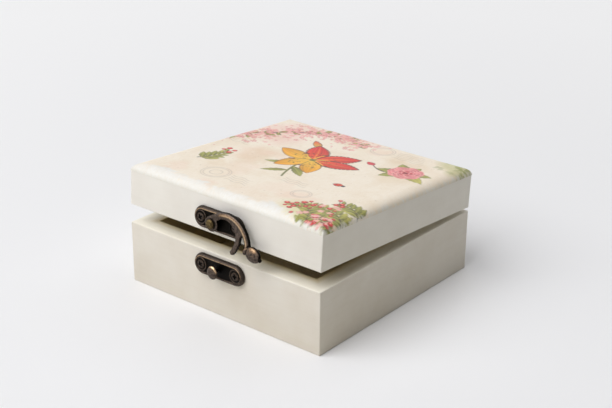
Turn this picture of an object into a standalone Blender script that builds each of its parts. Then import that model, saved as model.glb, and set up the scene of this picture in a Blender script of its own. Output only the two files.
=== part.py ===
"""Trinket box: a square painted wooden box with a hinged lid, a papered top and a swing-hook latch.

Metres, +Z up. The origin is the centre of the underside, +X runs along the latch face and +Y points to the
hinges. Every piece is modelled with the lid level. The lid's frame then tilts it open about the hinge pins.
"""

from math import acos, asin, atan2, cos, hypot, pi, radians, sin

import bmesh
import bpy
from mathutils import Matrix, Vector

# Box
box_width = 0.120
box_depth = 0.120
base_height = 0.032
lid_height = 0.0215
wall_thickness = 0.010
floor_thickness = 0.004
floor_rebate = 0.005
top_panel_thickness = 0.0062
corner_softening = 0.0005
seat_gap = 0.0003

# Rounded edge of the lid's top, and the paper that covers it
top_round_inward = 0.0060
top_round_drop = 0.0040
top_round_steps = 6
paper_thickness = 0.0004

# Lid's pose
lid_rest_angle = radians(3.75)

# Hinges
hinge_inset = 0.024
leaf_length = 0.018
leaf_reach = 0.0082
leaf_thickness = 0.0007
hinge_line_gap = 0.0015
knuckle_radius = 0.0015
knuckles_per_hinge = 3
pin_radius = 0.0006
pin_head_radius = 0.0012
pin_head_length = 0.0006
hinge_screw_head_radius = 0.0016
hinge_screw_radius = 0.0008
hinge_screw_length = 0.0070
hinge_screw_spacing = 0.0105

# Latch plates, the same on lid and base
latch_offset = 0.0003
hook_plate_height = 0.0075
catch_plate_drop = 0.0069
plate_length = 0.0310
plate_width = 0.0108
plate_thickness = 0.0022
plate_bevel = 0.0010
plate_rim = 0.0007
plate_field_depth = 0.0005
plate_lobe_radius = 0.0036
plate_screw_inset = 0.0046
plate_screw_head_radius = 0.0021
plate_screw_radius = 0.0010
plate_screw_length = 0.0085

# Catch stud
stud_neck_radius = 0.0009
stud_head_radius = 0.0027
stud_head_thickness = 0.0019
stud_collar_radius = 0.0020
finger_clearance = 0.0004

# Swing hook, in its own plane: u to the right and v upwards from the pivot
pivot_offset = 0.0020
pivot_drop = 0.0005
boss_radius = 0.0038
boss_height = 0.0020
web_thickness = 0.0015
rim_width = 0.0020
rim_height = 0.0022
rim_rounding = 0.0007
arm_centre_u = 0.0096
arm_centre_v = -0.0062
arm_radius = 0.01375
arch_centre_u = 0.0083
arch_centre_v = -0.0026
finger_width = 0.0024
finger_thickness = 0.0020
finger_rounding = 0.0006
finger_root_angle = radians(-7)
finger_tip_angle = radians(-39)
tail_end_angle = radians(-4)
tab_centre_u = 0.0262
tab_centre_v = -0.0071
tab_half_length = 0.0042
tab_half_width = 0.0034
tab_half_depth = 0.0021
tab_tilt = radians(-12)
tab_nub_radius = 0.0009

# Rivets, of the hook and of the stud
rivet_radius = 0.0011
rivet_head_radius = 0.0023
rivet_head_height = 0.0014
rivet_tail_radius = 0.0017
rivet_tail_height = 0.0004

# Small shapes, as shares of the pieces that carry them
countersink_share = 0.8
screw_tip_share = 1.5
screw_point_share = 0.35
slot_arm_share = 0.62
slot_half_width_share = 0.14
slot_depth_share = 0.6
head_cheek_share = 0.25
pin_crown_share = 0.7
stud_profile_shares = ((0.80, 0.0), (1.0, 0.30), (0.93, 0.65), (0.60, 0.92))
rivet_profile_shares = ((1.0, 0.0), (1.0, 0.35), (0.80, 0.80), (0.40, 1.0))

# Fineness of round pieces
round_segments = 24
small_segments = 16
bevel_steps = 2
arc_step = radians(9)
smooth_angle = radians(35)
overrun = 0.0010
merge_distance = 0.000001

# Places that follow from the sizes above
half_width = box_width / 2
half_depth = box_depth / 2
lid_bottom = base_height + hinge_line_gap
wall_top = lid_height - top_panel_thickness - seat_gap
hinge_axis_y = half_depth + seat_gap + knuckle_radius
hinge_axis_z = base_height + hinge_line_gap / 2
front_face_y = -half_depth
hook_plate_z = lid_bottom + hook_plate_height
catch_plate_z = base_height - catch_plate_drop
pivot_x = latch_offset - pivot_offset
pivot_z = hook_plate_z - pivot_drop
plate_front = seat_gap + plate_thickness
hook_back = plate_front + seat_gap
lobe_top = plate_front - plate_field_depth / 4
closed_drop = hinge_line_gap - seat_gap
catch_distance = hypot(latch_offset - pivot_x, pivot_z - closed_drop - catch_plate_z)
finger_inner_radius = catch_distance + stud_neck_radius + seat_gap
finger_outer_radius = finger_inner_radius + finger_width
arch_radius = finger_inner_radius - hypot(arch_centre_u, arch_centre_v)


def clear_scene():
    """Remove whatever the file opened with."""
    for old in list(bpy.data.objects):
        bpy.data.objects.remove(old, do_unlink=True)


def finish(name, colour, roughness, metallic=0.0):
    """A Principled material."""
    material = bpy.data.materials.new(name)
    material.use_nodes = True
    shader = material.node_tree.nodes["Principled BSDF"]
    shader.inputs["Base Color"].default_value = (*colour, 1.0)
    shader.inputs["Roughness"].default_value = roughness
    shader.inputs["Metallic"].default_value = metallic
    material.diffuse_color = (*colour, 1.0)
    return material


def make_object(name, bm, material=None, smooth=False):
    """Turn a bmesh into an object whose faces point outwards."""
    bmesh.ops.recalc_face_normals(bm, faces=bm.faces)
    mesh = bpy.data.meshes.new(name)
    bm.to_mesh(mesh)
    bm.free()
    if smooth:
        mesh.shade_smooth()
        mesh.set_sharp_from_angle(angle=smooth_angle)
    thing = bpy.data.objects.new(name, mesh)
    bpy.context.scene.collection.objects.link(thing)
    if material:
        mesh.materials.append(material)
    return thing


def smooth_round_faces(thing):
    """Shade round faces smooth again after cutting and joining."""
    thing.data.shade_smooth()
    thing.data.set_sharp_from_angle(angle=smooth_angle)


def settle(thing):
    """Bake an object's modifiers into its mesh, and weld the specks that a cut can leave."""
    depsgraph = bpy.context.evaluated_depsgraph_get()
    mesh = bpy.data.meshes.new_from_object(thing.evaluated_get(depsgraph))
    bm = bmesh.new()
    bm.from_mesh(mesh)
    bmesh.ops.remove_doubles(bm, verts=bm.verts, dist=merge_distance)
    bmesh.ops.dissolve_degenerate(bm, edges=bm.edges, dist=merge_distance)
    bm.to_mesh(mesh)
    bm.free()
    thing.modifiers.clear()
    thing.data = mesh


def combine(thing, others, operation):
    """Join to or cut from an object, and remove what it was joined with or cut by."""
    for other in others:
        other.hide_render = True
        other.display_type = "WIRE"
        modifier = thing.modifiers.new(operation.title(), "BOOLEAN")
        modifier.operation = operation
        modifier.solver = "EXACT"
        modifier.object = other
        settle(thing)
    for other in others:
        bpy.data.objects.remove(other, do_unlink=True)


def cut(thing, others):
    """Cut others out of an object."""
    combine(thing, others, "DIFFERENCE")


def fuse(thing, others):
    """Join others to an object."""
    combine(thing, others, "UNION")


def block(name, low, high, material=None):
    """A box between two corners."""
    bm = bmesh.new()
    size = Vector(high) - Vector(low)
    place = Matrix.Translation((Vector(high) + Vector(low)) / 2) @ Matrix.Diagonal((*size, 1.0))
    bmesh.ops.create_cube(bm, size=1.0, matrix=place)
    return make_object(name, bm, material)


def turned(name, profile, material=None, segments=round_segments, place=None):
    """A solid turned about local Z, from (radius, height) points that begin and end on the axis."""
    bm = bmesh.new()
    points = [bm.verts.new((radius, 0, height)) for radius, height in profile]
    edges = [bm.edges.new(pair) for pair in zip(points, points[1:])]
    bmesh.ops.spin(
        bm, geom=points + edges, cent=(0, 0, 0), axis=(0, 0, 1), angle=2 * pi, steps=segments, use_merge=True
    )
    bmesh.ops.remove_doubles(bm, verts=bm.verts, dist=merge_distance)
    thing = make_object(name, bm, material, smooth=True)
    if place:
        thing.matrix_basis = place
    return thing


def rod(radius, bottom, top, segments=small_segments, place=None):
    """A plain cylinder along local Z, for cutting or joining."""
    profile = [(0, bottom), (radius, bottom), (radius, top), (0, top)]
    return turned("rod", profile, None, segments, place)


def slab(name, outline, bottom, top, rounding=0, material=None):
    """A flat outline raised from one height to another, its upper edge bevelled by the rounding."""
    bm = bmesh.new()
    face = bm.faces.new([bm.verts.new((u, v, bottom)) for u, v in outline])
    raised = bmesh.ops.extrude_face_region(bm, geom=[face])["geom"]
    upper = [item for item in raised if isinstance(item, bmesh.types.BMVert)]
    bmesh.ops.translate(bm, vec=(0, 0, top - bottom), verts=upper)
    if rounding:
        lip = [edge for edge in bm.edges if all(vert in upper for vert in edge.verts)]
        bmesh.ops.bevel(
            bm, geom=lip, offset=rounding, segments=bevel_steps, profile=0.5, affect="EDGES", material=-1
        )
    return make_object(name, bm, material, smooth=True)


def arc(centre_u, centre_v, radius, start, end):
    """Points of an arc, with a step that follows its sweep."""
    steps = max(2, round(abs(end - start) / arc_step))
    angles = [start + (end - start) * step / steps for step in range(steps + 1)]
    return [(centre_u + radius * cos(angle), centre_v + radius * sin(angle)) for angle in angles]


def facing_front(x, z):
    """Places a piece on the latch face: local X to the right, local Y up and local Z out of the wall."""
    return Matrix.Translation((x, front_face_y, z)) @ Matrix.Rotation(pi / 2, 4, "X")


def soften_corners(wall):
    """Take the sharpness off the box's upright outer corners."""
    bm = bmesh.new()
    bm.from_mesh(wall.data)
    corners = [
        edge
        for edge in bm.edges
        if all(
            abs(abs(vert.co.x) - half_width) < seat_gap / 2 and abs(abs(vert.co.y) - half_depth) < seat_gap / 2
            for vert in edge.verts
        )
    ]
    bmesh.ops.bevel(
        bm, geom=corners, offset=corner_softening, segments=bevel_steps, profile=0.5, affect="EDGES", material=-1
    )
    bm.to_mesh(wall.data)
    bm.free()


# Walls, floor and top


def four_walls(prefix, bottom, top, material):
    """Front and back walls run the full width, and the side walls stand between them."""
    inner_y = half_depth - wall_thickness
    inner_x = half_width - wall_thickness
    side_y = inner_y - seat_gap
    walls = {
        "front": block(
            f"{prefix}_front_wall", (-half_width, -half_depth, bottom), (half_width, -inner_y, top), material
        ),
        "back": block(
            f"{prefix}_back_wall", (-half_width, inner_y, bottom), (half_width, half_depth, top), material
        ),
        "left": block(f"{prefix}_left_wall", (-half_width, -side_y, bottom), (-inner_x, side_y, top), material),
        "right": block(f"{prefix}_right_wall", (inner_x, -side_y, bottom), (half_width, side_y, top), material),
    }
    for side in ("front", "back"):
        soften_corners(walls[side])
    return walls


def base_box(paint, board):
    """The base's walls, rebated below for a floor that lies flush with their lower edges."""
    walls = four_walls("base", 0, base_height, paint)
    rebate_x = half_width - wall_thickness + floor_rebate
    rebate_y = half_depth - wall_thickness + floor_rebate
    for wall in walls.values():
        rebate = block(
            "rebate", (-rebate_x, -rebate_y, -overrun), (rebate_x, rebate_y, floor_thickness + seat_gap)
        )
        cut(wall, [rebate])
    floor_x = rebate_x - seat_gap
    floor_y = rebate_y - seat_gap
    block("base_floor", (-floor_x, -floor_y, 0), (floor_x, floor_y, floor_thickness), board)
    return walls


def lid_curve(inset):
    """Insets and heights of the lid's rounded top edge, of a surface that lies inset below the papered one."""
    run = top_round_inward - inset
    drop = top_round_drop - inset
    foot = lid_bottom + lid_height - top_round_drop
    angles = [pi / 2 * step / top_round_steps for step in range(top_round_steps + 1)]
    return [(inset + run * (1 - cos(angle)), foot + drop * sin(angle)) for angle in angles]


def square_rings(bm, levels):
    """Square rings, one for each inset and height, joined by faces."""
    rings = []
    for inset, height in levels:
        x = half_width - inset
        y = half_depth - inset
        corners = ((-x, -y), (x, -y), (x, y), (-x, y))
        rings.append([bm.verts.new((corner_x, corner_y, height)) for corner_x, corner_y in corners])
    for lower, upper in zip(rings, rings[1:]):
        for here in range(4):
            after = (here + 1) % 4
            bm.faces.new((lower[here], lower[after], upper[after], upper[here]))
    return rings


def lid_box(paint, paper):
    """The lid's walls, its rounded top panel and the paper glued over that."""
    walls = four_walls("lid", lid_bottom, lid_bottom + wall_top, paint)
    skin = paper_thickness + seat_gap
    foot = lid_bottom + lid_height - top_round_drop
    bm = bmesh.new()
    levels = [(0, lid_bottom + wall_top + seat_gap), (0, foot - seat_gap), (skin, foot - seat_gap)]
    levels += lid_curve(skin)
    rings = square_rings(bm, levels)
    bm.faces.new(rings[0])
    bm.faces.new(rings[-1])
    panel = make_object("lid_top_panel", bm, paint)

    bm = bmesh.new()
    outer = square_rings(bm, lid_curve(0))
    inner = square_rings(bm, lid_curve(paper_thickness))
    bm.faces.new(outer[-1])
    bm.faces.new(inner[-1])
    for here in range(4):
        after = (here + 1) % 4
        bm.faces.new((outer[0][here], outer[0][after], inner[0][after], inner[0][here]))
    sheet = make_object("lid_paper", bm, paper)
    return walls, [panel, sheet]


# Screws


def screw_profile(head_radius, shank_radius, length, head_depth, grow=0):
    """Profile of a countersunk screw, head up with its top at height 0, or of the hole it needs."""
    return [
        (0, -length - grow),
        (shank_radius * screw_point_share + grow, -length - grow),
        (shank_radius + grow, -length + shank_radius * screw_tip_share),
        (shank_radius + grow, -head_depth),
        (head_radius + grow, -head_depth * head_cheek_share),
        (head_radius + grow, 0),
        (0, 0),
    ]


def screw(name, material, head_radius, shank_radius, length, head_depth, place):
    """A countersunk screw with a cross slot."""
    profile = screw_profile(head_radius, shank_radius, length, head_depth)
    body = turned(name, profile, material, small_segments)
    arm = head_radius * slot_arm_share
    half = head_radius * slot_half_width_share
    plus = [
        (half, half), (arm, half), (arm, -half), (half, -half), (half, -arm), (-half, -arm),
        (-half, -half), (-arm, -half), (-arm, half), (-half, half), (-half, arm), (half, arm),
    ]
    slot = slab("slot", plus, -head_depth * slot_depth_share, overrun)
    cut(body, [slot])
    body.matrix_basis = place
    return body


def screw_hole(head_radius, shank_radius, length, head_depth, place):
    """What a screw needs cut out: its own shape, wider by the gap, and open above the head."""
    profile = screw_profile(head_radius, shank_radius, length, head_depth, seat_gap)
    profile[-2:] = [(head_radius + seat_gap, overrun), (0, overrun)]
    return turned("hole", profile, None, small_segments, place)


# Hinges


def along_hinge(x):
    """Places a piece on the hinge line: local Z along it."""
    return Matrix.Translation((x, hinge_axis_y, hinge_axis_z)) @ Matrix.Rotation(pi / 2, 4, "Y")


def leaf(name, level, flip, knuckles, material):
    """One leaf of a hinge at local X 0: a plate with tangs on a wall's edge, and knuckles round the pin."""
    half_length = leaf_length / 2
    pitch = leaf_length / knuckles_per_hinge
    turn = along_hinge(0)
    outline = [(half_length, half_depth - leaf_reach), (-half_length, half_depth - leaf_reach)]
    outline.append((-half_length, half_depth))
    barrels = []
    for index in knuckles:
        start = -half_length + index * pitch
        barrel_start = start + (seat_gap / 2 if index else 0)
        barrel_end = start + pitch - (seat_gap / 2 if index < knuckles_per_hinge - 1 else 0)
        barrels.append(rod(knuckle_radius, barrel_start, barrel_end, small_segments, turn))
        tang_start = barrel_start + seat_gap / 2
        tang_end = barrel_end - seat_gap / 2
        outline += [(tang_start, half_depth), (tang_start, hinge_axis_y)]
        outline += [(tang_end, hinge_axis_y), (tang_end, half_depth)]
    outline.append((half_length, half_depth))
    low, high = sorted((level, level + flip * leaf_thickness))
    plate = slab(name, outline, low, high, 0, material)
    fuse(plate, barrels)
    bore_end = half_length + overrun
    cut(plate, [rod(pin_radius + seat_gap, -bore_end, bore_end, small_segments, turn)])
    smooth_round_faces(plate)
    return plate


def hinge_pin(name, x, metal):
    """A pin with a small crowned head at each end."""
    reach = leaf_length / 2 + seat_gap
    shoulder = reach + pin_head_length / 2
    end = reach + pin_head_length
    crown_radius = pin_head_radius * pin_crown_share
    half = [
        (pin_radius, reach), (pin_head_radius, reach), (pin_head_radius, shoulder), (crown_radius, end), (0, end),
    ]
    profile = [(radius, -height) for radius, height in reversed(half)] + half
    return turned(name, profile, metal, small_segments, along_hinge(x))


def hinges(walls, lid_walls, metal):
    """Two butt hinges between the back walls, with their pins and screws."""
    base_level = base_height + hinge_line_gap / 2 - seat_gap / 2
    lid_level = base_height + hinge_line_gap / 2 + seat_gap / 2
    lid_parts = []
    for side, outward in (("left", 1), ("right", -1)):
        x = -outward * (half_width - hinge_inset)
        lower = leaf(f"{side}_hinge_base_leaf", base_level, -1, range(0, knuckles_per_hinge, 2), metal)
        upper = leaf(f"{side}_hinge_lid_leaf", lid_level, 1, range(1, knuckles_per_hinge, 2), metal)
        hinge_pin(f"{side}_hinge_pin", x, metal)
        gain_x = leaf_length / 2 + seat_gap
        gain_y = half_depth - leaf_reach - seat_gap
        head_depth = leaf_thickness * countersink_share
        for plate, wall, flip, level in (
            (lower, walls["back"], -1, base_level),
            (upper, lid_walls["back"], 1, lid_level),
        ):
            plate.location.x = x
            bed = level + flip * (leaf_thickness + seat_gap)
            low, high = sorted((bed, level - flip * overrun))
            cut(wall, [block("gain", (x - gain_x, gain_y, low), (x + gain_x, half_depth + overrun, high))])
            for place_name, step in (("outer", -1), ("inner", 1)):
                spot = Matrix.Translation(
                    (x + step * outward * hinge_screw_spacing / 2, half_depth - leaf_reach / 2, level)
                )
                if flip > 0:
                    spot = spot @ Matrix.Rotation(pi, 4, "X")
                sizes = (hinge_screw_head_radius, hinge_screw_radius, hinge_screw_length, head_depth, spot)
                owner = "lid" if flip > 0 else "base"
                driven = screw(f"{side}_hinge_{owner}_{place_name}_screw", metal, *sizes)
                cut(plate, [screw_hole(*sizes)])
                cut(wall, [screw_hole(*sizes)])
                if flip > 0:
                    lid_parts.append(driven)
        lid_parts.append(upper)
    return lid_parts


# Latch


def obround(length, width):
    """Outline with straight sides and round ends."""
    radius = width / 2
    run = length / 2 - radius
    return arc(run, 0, radius, -pi / 2, pi / 2) + arc(-run, 0, radius, pi / 2, 3 * pi / 2)


def latch_plate(name, x, z, rivet_u, rivet_v, wall, bronze):
    """A latch plate: bevelled sides, a rim round a sunk field, a round lobe at each screw, a rivet hole."""
    bm = bmesh.new()
    rings = []
    for grow, height in (
        (0, seat_gap),
        (0, seat_gap + plate_thickness - plate_bevel),
        (plate_bevel, plate_front),
        (plate_bevel + plate_rim, plate_front),
        (plate_bevel + plate_rim, plate_front - plate_field_depth),
    ):
        outline = obround(plate_length - 2 * grow, plate_width - 2 * grow)
        rings.append([bm.verts.new((u, v, height)) for u, v in outline])
    for lower, upper in zip(rings, rings[1:]):
        count = len(lower)
        for here in range(count):
            after = (here + 1) % count
            bm.faces.new((lower[here], lower[after], upper[after], upper[here]))
    bm.faces.new(rings[0])
    bm.faces.new(rings[-1])
    plate = make_object(name, bm, bronze, smooth=True)
    reach = plate_length / 2 - plate_screw_inset
    spots = (-reach, reach)
    lobe_bottom = seat_gap + plate_field_depth
    lobes = [
        rod(plate_lobe_radius, lobe_bottom, lobe_top, round_segments, Matrix.Translation((u, 0, 0)))
        for u in spots
    ]
    fuse(plate, lobes)
    shaft = Matrix.Translation((rivet_u, rivet_v, 0))
    cut(plate, [rod(rivet_radius + seat_gap, -overrun, plate_front + overrun, small_segments, shaft)])
    pocket = seat_gap + rivet_tail_height + 2 * seat_gap
    cut(plate, [rod(rivet_tail_radius + seat_gap, -overrun, pocket, small_segments, shaft)])
    place = facing_front(x, z)
    plate.matrix_basis = place
    pieces = [plate]
    head_depth = plate_thickness / 2
    for side, u in (("left", spots[0]), ("right", spots[1])):
        spot = place @ Matrix.Translation((u, 0, lobe_top))
        sizes = (plate_screw_head_radius, plate_screw_radius, plate_screw_length, head_depth, spot)
        pieces.append(screw(f"{name}_{side}_screw", bronze, *sizes))
        cut(plate, [screw_hole(*sizes)])
        cut(wall, [screw_hole(*sizes)])
    smooth_round_faces(plate)
    return pieces


def rivet_tail():
    """Lower half of a rivet's profile: the end that is spread in its plate's pocket."""
    tail_bottom = 2 * seat_gap
    return [
        (0, tail_bottom),
        (rivet_tail_radius, tail_bottom),
        (rivet_tail_radius, tail_bottom + rivet_tail_height),
    ]


def catch_stud(bronze):
    """The base's stud: a spread tail, a collar on the plate, a neck for the hook and a rounded head."""
    finger_front = hook_back + finger_thickness
    head_back = finger_front + finger_clearance
    tail_top = 2 * seat_gap + rivet_tail_height
    collar_back = plate_front - plate_field_depth + seat_gap
    collar_front = hook_back - seat_gap
    head = [
        (stud_head_radius * wide, head_back + stud_head_thickness * deep) for wide, deep in stud_profile_shares
    ]
    profile = [
        *rivet_tail(),
        (rivet_radius, tail_top),
        (rivet_radius, collar_back),
        (stud_collar_radius, collar_back),
        (stud_collar_radius, collar_front),
        (stud_neck_radius, collar_front),
        (stud_neck_radius, head_back),
        *head,
        (0, head_back + stud_head_thickness),
    ]
    return turned("catch_stud", profile, bronze, round_segments, facing_front(latch_offset, catch_plate_z))


def hook_rivet(brass):
    """The pivot: a spread tail, a shank through the hook's boss and a domed head."""
    head_back = hook_back + boss_height + seat_gap
    tail_top = 2 * seat_gap + rivet_tail_height
    head = [
        (rivet_head_radius * wide, head_back + rivet_head_height * deep) for wide, deep in rivet_profile_shares
    ]
    profile = [
        *rivet_tail(),
        (rivet_radius, tail_top),
        (rivet_radius, head_back),
        *head,
        (0, head_back + rivet_head_height),
    ]
    return turned("hook_rivet", profile, brass, round_segments, facing_front(pivot_x, pivot_z))


def arm_tangent_angle():
    """Direction in which the boss and the arm's outer circle share a tangent."""
    apart = hypot(arm_centre_u, arm_centre_v)
    return atan2(arm_centre_v, arm_centre_u) + acos((boss_radius - arm_radius) / apart)


def circle_meeting(centre_u, centre_v, radius, other_radius):
    """Direction from the pivot of the upper point where a circle round it meets another circle."""
    apart = hypot(centre_u, centre_v)
    share = (apart**2 + other_radius**2 - radius**2) / (2 * apart * other_radius)
    return atan2(centre_v, centre_u) + acos(share)


def hook_web():
    """Outline of the hook's flat web: round the boss, over the arch, round the crotch and up the tail."""
    tangent = arm_tangent_angle()
    meeting = circle_meeting(arch_centre_u, arch_centre_v, arch_radius, boss_radius)
    meet_u = boss_radius * cos(meeting)
    meet_v = boss_radius * sin(meeting)
    arch_start = atan2(meet_v - arch_centre_v, meet_u - arch_centre_u)
    arch_end = atan2(arch_centre_v, arch_centre_u)
    root_u = finger_outer_radius * cos(finger_root_angle)
    root_v = finger_outer_radius * sin(finger_root_angle)
    tail_inner = arm_radius - rim_width
    tail_angle = asin((root_v - arm_centre_v) / tail_inner)
    tail_u = arm_centre_u + tail_inner * cos(tail_angle)
    crotch_radius = (tail_u - root_u) / 2
    outline = arc(0, 0, boss_radius, tangent, meeting + 2 * pi)
    outline += arc(arch_centre_u, arch_centre_v, arch_radius, arch_start, arch_end)[1:]
    outline += arc(root_u + crotch_radius, root_v, crotch_radius, pi, 0)
    outline += arc(arm_centre_u, arm_centre_v, tail_inner, tail_angle, tail_end_angle)[1:]
    outline += arc(arm_centre_u, arm_centre_v, arm_radius, tail_end_angle, tangent)
    return outline


def hook_rim():
    """Outline of the raised rim along the arm's outer edge."""
    tangent = arm_tangent_angle()
    outline = arc(arm_centre_u, arm_centre_v, arm_radius, tail_end_angle, tangent)
    outline.append((boss_radius * cos(tangent), boss_radius * sin(tangent)))
    start_radius = boss_radius - rim_width
    outline.append((start_radius * cos(tangent), start_radius * sin(tangent)))
    outline += arc(arm_centre_u, arm_centre_v, arm_radius - rim_width, tangent, tail_end_angle)
    return outline


def hook_finger():
    """Outline of the finger that passes under the stud, part of a ring round the pivot."""
    middle = finger_inner_radius + finger_width / 2
    tip_u = middle * cos(finger_tip_angle)
    tip_v = middle * sin(finger_tip_angle)
    outline = arc(0, 0, finger_inner_radius, finger_root_angle, finger_tip_angle)
    outline += arc(tip_u, tip_v, finger_width / 2, finger_tip_angle + pi, finger_tip_angle + 2 * pi)[1:-1]
    outline += arc(0, 0, finger_outer_radius, finger_tip_angle, finger_root_angle)
    return outline


def swing_hook(bronze):
    """The hook: web, raised rim, boss, finger, and a thumb tab that ends in a small nub."""
    hook = slab("swing_hook", hook_web(), hook_back, hook_back + web_thickness, 0, bronze)
    rim = slab("rim", hook_rim(), hook_back, hook_back + rim_height, rim_rounding)
    finger = slab("finger", hook_finger(), hook_back, hook_back + finger_thickness, finger_rounding)
    boss = rod(boss_radius, hook_back, hook_back + boss_height, round_segments)
    tab_depth = hook_back + tab_half_depth
    tab = bmesh.new()
    place = (
        Matrix.Translation((tab_centre_u, tab_centre_v, tab_depth))
        @ Matrix.Rotation(tab_tilt, 4, "Z")
        @ Matrix.Diagonal((tab_half_length, tab_half_width, tab_half_depth, 1.0))
    )
    bmesh.ops.create_uvsphere(
        tab, u_segments=round_segments, v_segments=small_segments, radius=1.0, matrix=place
    )
    thumb_tab = make_object("tab", tab, None, smooth=True)
    nub = bmesh.new()
    nub_u = tab_centre_u + tab_half_length * cos(tab_tilt)
    nub_v = tab_centre_v + tab_half_length * sin(tab_tilt)
    tip = Matrix.Translation((nub_u, nub_v, tab_depth))
    bmesh.ops.create_uvsphere(
        nub, u_segments=small_segments, v_segments=small_segments // 2, radius=tab_nub_radius, matrix=tip
    )
    fuse(hook, [rim, boss, finger, thumb_tab, make_object("nub", nub, None, smooth=True)])
    cut(hook, [rod(rivet_radius + seat_gap, -overrun, hook_back + boss_height + overrun)])
    smooth_round_faces(hook)
    return hook


def frame_at(name, place):
    """An empty that carries the pieces of a moving assembly."""
    empty = bpy.data.objects.new(name, None)
    bpy.context.scene.collection.objects.link(empty)
    empty.matrix_basis = place
    return empty


def main():
    clear_scene()
    paint = finish("cream paint", (0.76, 0.71, 0.63), 0.45)
    board = finish("painted board", (0.72, 0.67, 0.58), 0.55)
    paper = finish("varnished paper", (0.86, 0.78, 0.66), 0.35)
    bronze = finish("antique bronze", (0.09, 0.065, 0.045), 0.40, 1.0)
    worn_brass = finish("worn brass", (0.35, 0.26, 0.15), 0.35, 1.0)

    base_walls = base_box(paint, board)
    lid_walls, lid_tops = lid_box(paint, paper)
    lid_pieces = [*lid_walls.values(), *lid_tops]
    lid_pieces += hinges(base_walls, lid_walls, bronze)
    lid_pieces += latch_plate(
        "hook_plate", latch_offset, hook_plate_z, -pivot_offset, -pivot_drop, lid_walls["front"], bronze
    )
    latch_plate("catch_plate", latch_offset, catch_plate_z, 0, 0, base_walls["front"], bronze)
    catch_stud(bronze)
    lid_pieces.append(hook_rivet(worn_brass))
    hook = swing_hook(bronze)

    hinge_axis = Vector((0, hinge_axis_y, hinge_axis_z))
    lid_frame = frame_at("lid_frame", Matrix.Translation(hinge_axis) @ Matrix.Rotation(-lid_rest_angle, 4, "X"))
    hook_frame = frame_at("hook_frame", facing_front(pivot_x, pivot_z))
    for piece in (*lid_pieces, hook_frame):
        piece.parent = lid_frame
        piece.matrix_parent_inverse = Matrix.Translation(-hinge_axis)
    hook.parent = hook_frame


main()
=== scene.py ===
"""Looks of the trinket box: a painted wooden case, a papered lid and a small bronze swing-hook latch.

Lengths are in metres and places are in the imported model's frame, with the lid ajar as it rests. The lid's
pieces are modelled level and then tilted about the hinge line. Printed designs and the turned profiles are in
millimetres, as their names or docstrings say.
"""

import logging
from contextlib import contextmanager
from dataclasses import dataclass, field
from enum import Enum
from math import acos, asin, atan2, cos, hypot, pi, radians, sin
from typing import Callable, Iterable, Iterator, Sequence

import bmesh
import bpy
import numpy as np
from bmesh.types import BMEdge, BMesh, BMFace, BMVert
from bpy.types import ID, ColorRamp, Material, Mesh, NodeSocket, Object, World
from mathutils import Matrix, Vector


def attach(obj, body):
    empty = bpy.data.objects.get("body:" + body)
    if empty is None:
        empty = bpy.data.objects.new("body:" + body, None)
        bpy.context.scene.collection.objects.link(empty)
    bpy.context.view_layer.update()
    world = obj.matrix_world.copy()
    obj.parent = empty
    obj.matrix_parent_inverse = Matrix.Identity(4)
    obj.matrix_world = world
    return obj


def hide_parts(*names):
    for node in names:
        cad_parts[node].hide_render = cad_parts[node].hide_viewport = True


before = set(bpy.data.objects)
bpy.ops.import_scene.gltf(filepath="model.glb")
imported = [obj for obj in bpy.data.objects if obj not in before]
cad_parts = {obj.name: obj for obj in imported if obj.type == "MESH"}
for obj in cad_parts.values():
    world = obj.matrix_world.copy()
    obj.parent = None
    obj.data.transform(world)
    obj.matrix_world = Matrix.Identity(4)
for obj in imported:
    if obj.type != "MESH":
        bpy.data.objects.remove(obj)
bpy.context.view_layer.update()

Array = np.ndarray
Triple = tuple[float, float, float]
Colour = Triple
Point = tuple[float, float]
Profile = tuple[Point, ...]
Shares = tuple[Array, Array]
Patch = tuple[Point, Point, Colour, float]

log = logging.getLogger("trinket_box")

MM = 0.001
MERGE_DISTANCE = 1e-7
WHITE: Colour = (1.0, 1.0, 1.0)


class Body(Enum):
    """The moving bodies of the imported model."""

    BASE = "base"
    LID = "lid"
    HOOK = "hook"


class Slot(Enum):
    """The record's material slots."""

    PAINT = "cream_paint"
    BOARD = "painted_board"
    PAPER = "printed_paper"
    BRONZE = "antique_bronze"
    BRASS = "worn_brass"


def ink(red: float, green: float, blue: float) -> Colour:
    """Turn a screen colour into linear light.

    Args:
        red: Red, from 0 to 255.
        green: Green, from 0 to 255.
        blue: Blue, from 0 to 255.

    Returns:
        The same colour in linear light, from 0 to 1.
    """

    def linear(value: float) -> float:
        """Undo the screen curve of one channel."""
        share = value / 255
        return share / 12.92 if share <= 0.04045 else ((share + 0.055) / 1.055) ** 2.4

    return linear(red), linear(green), linear(blue)


# Shader graphs


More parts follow.
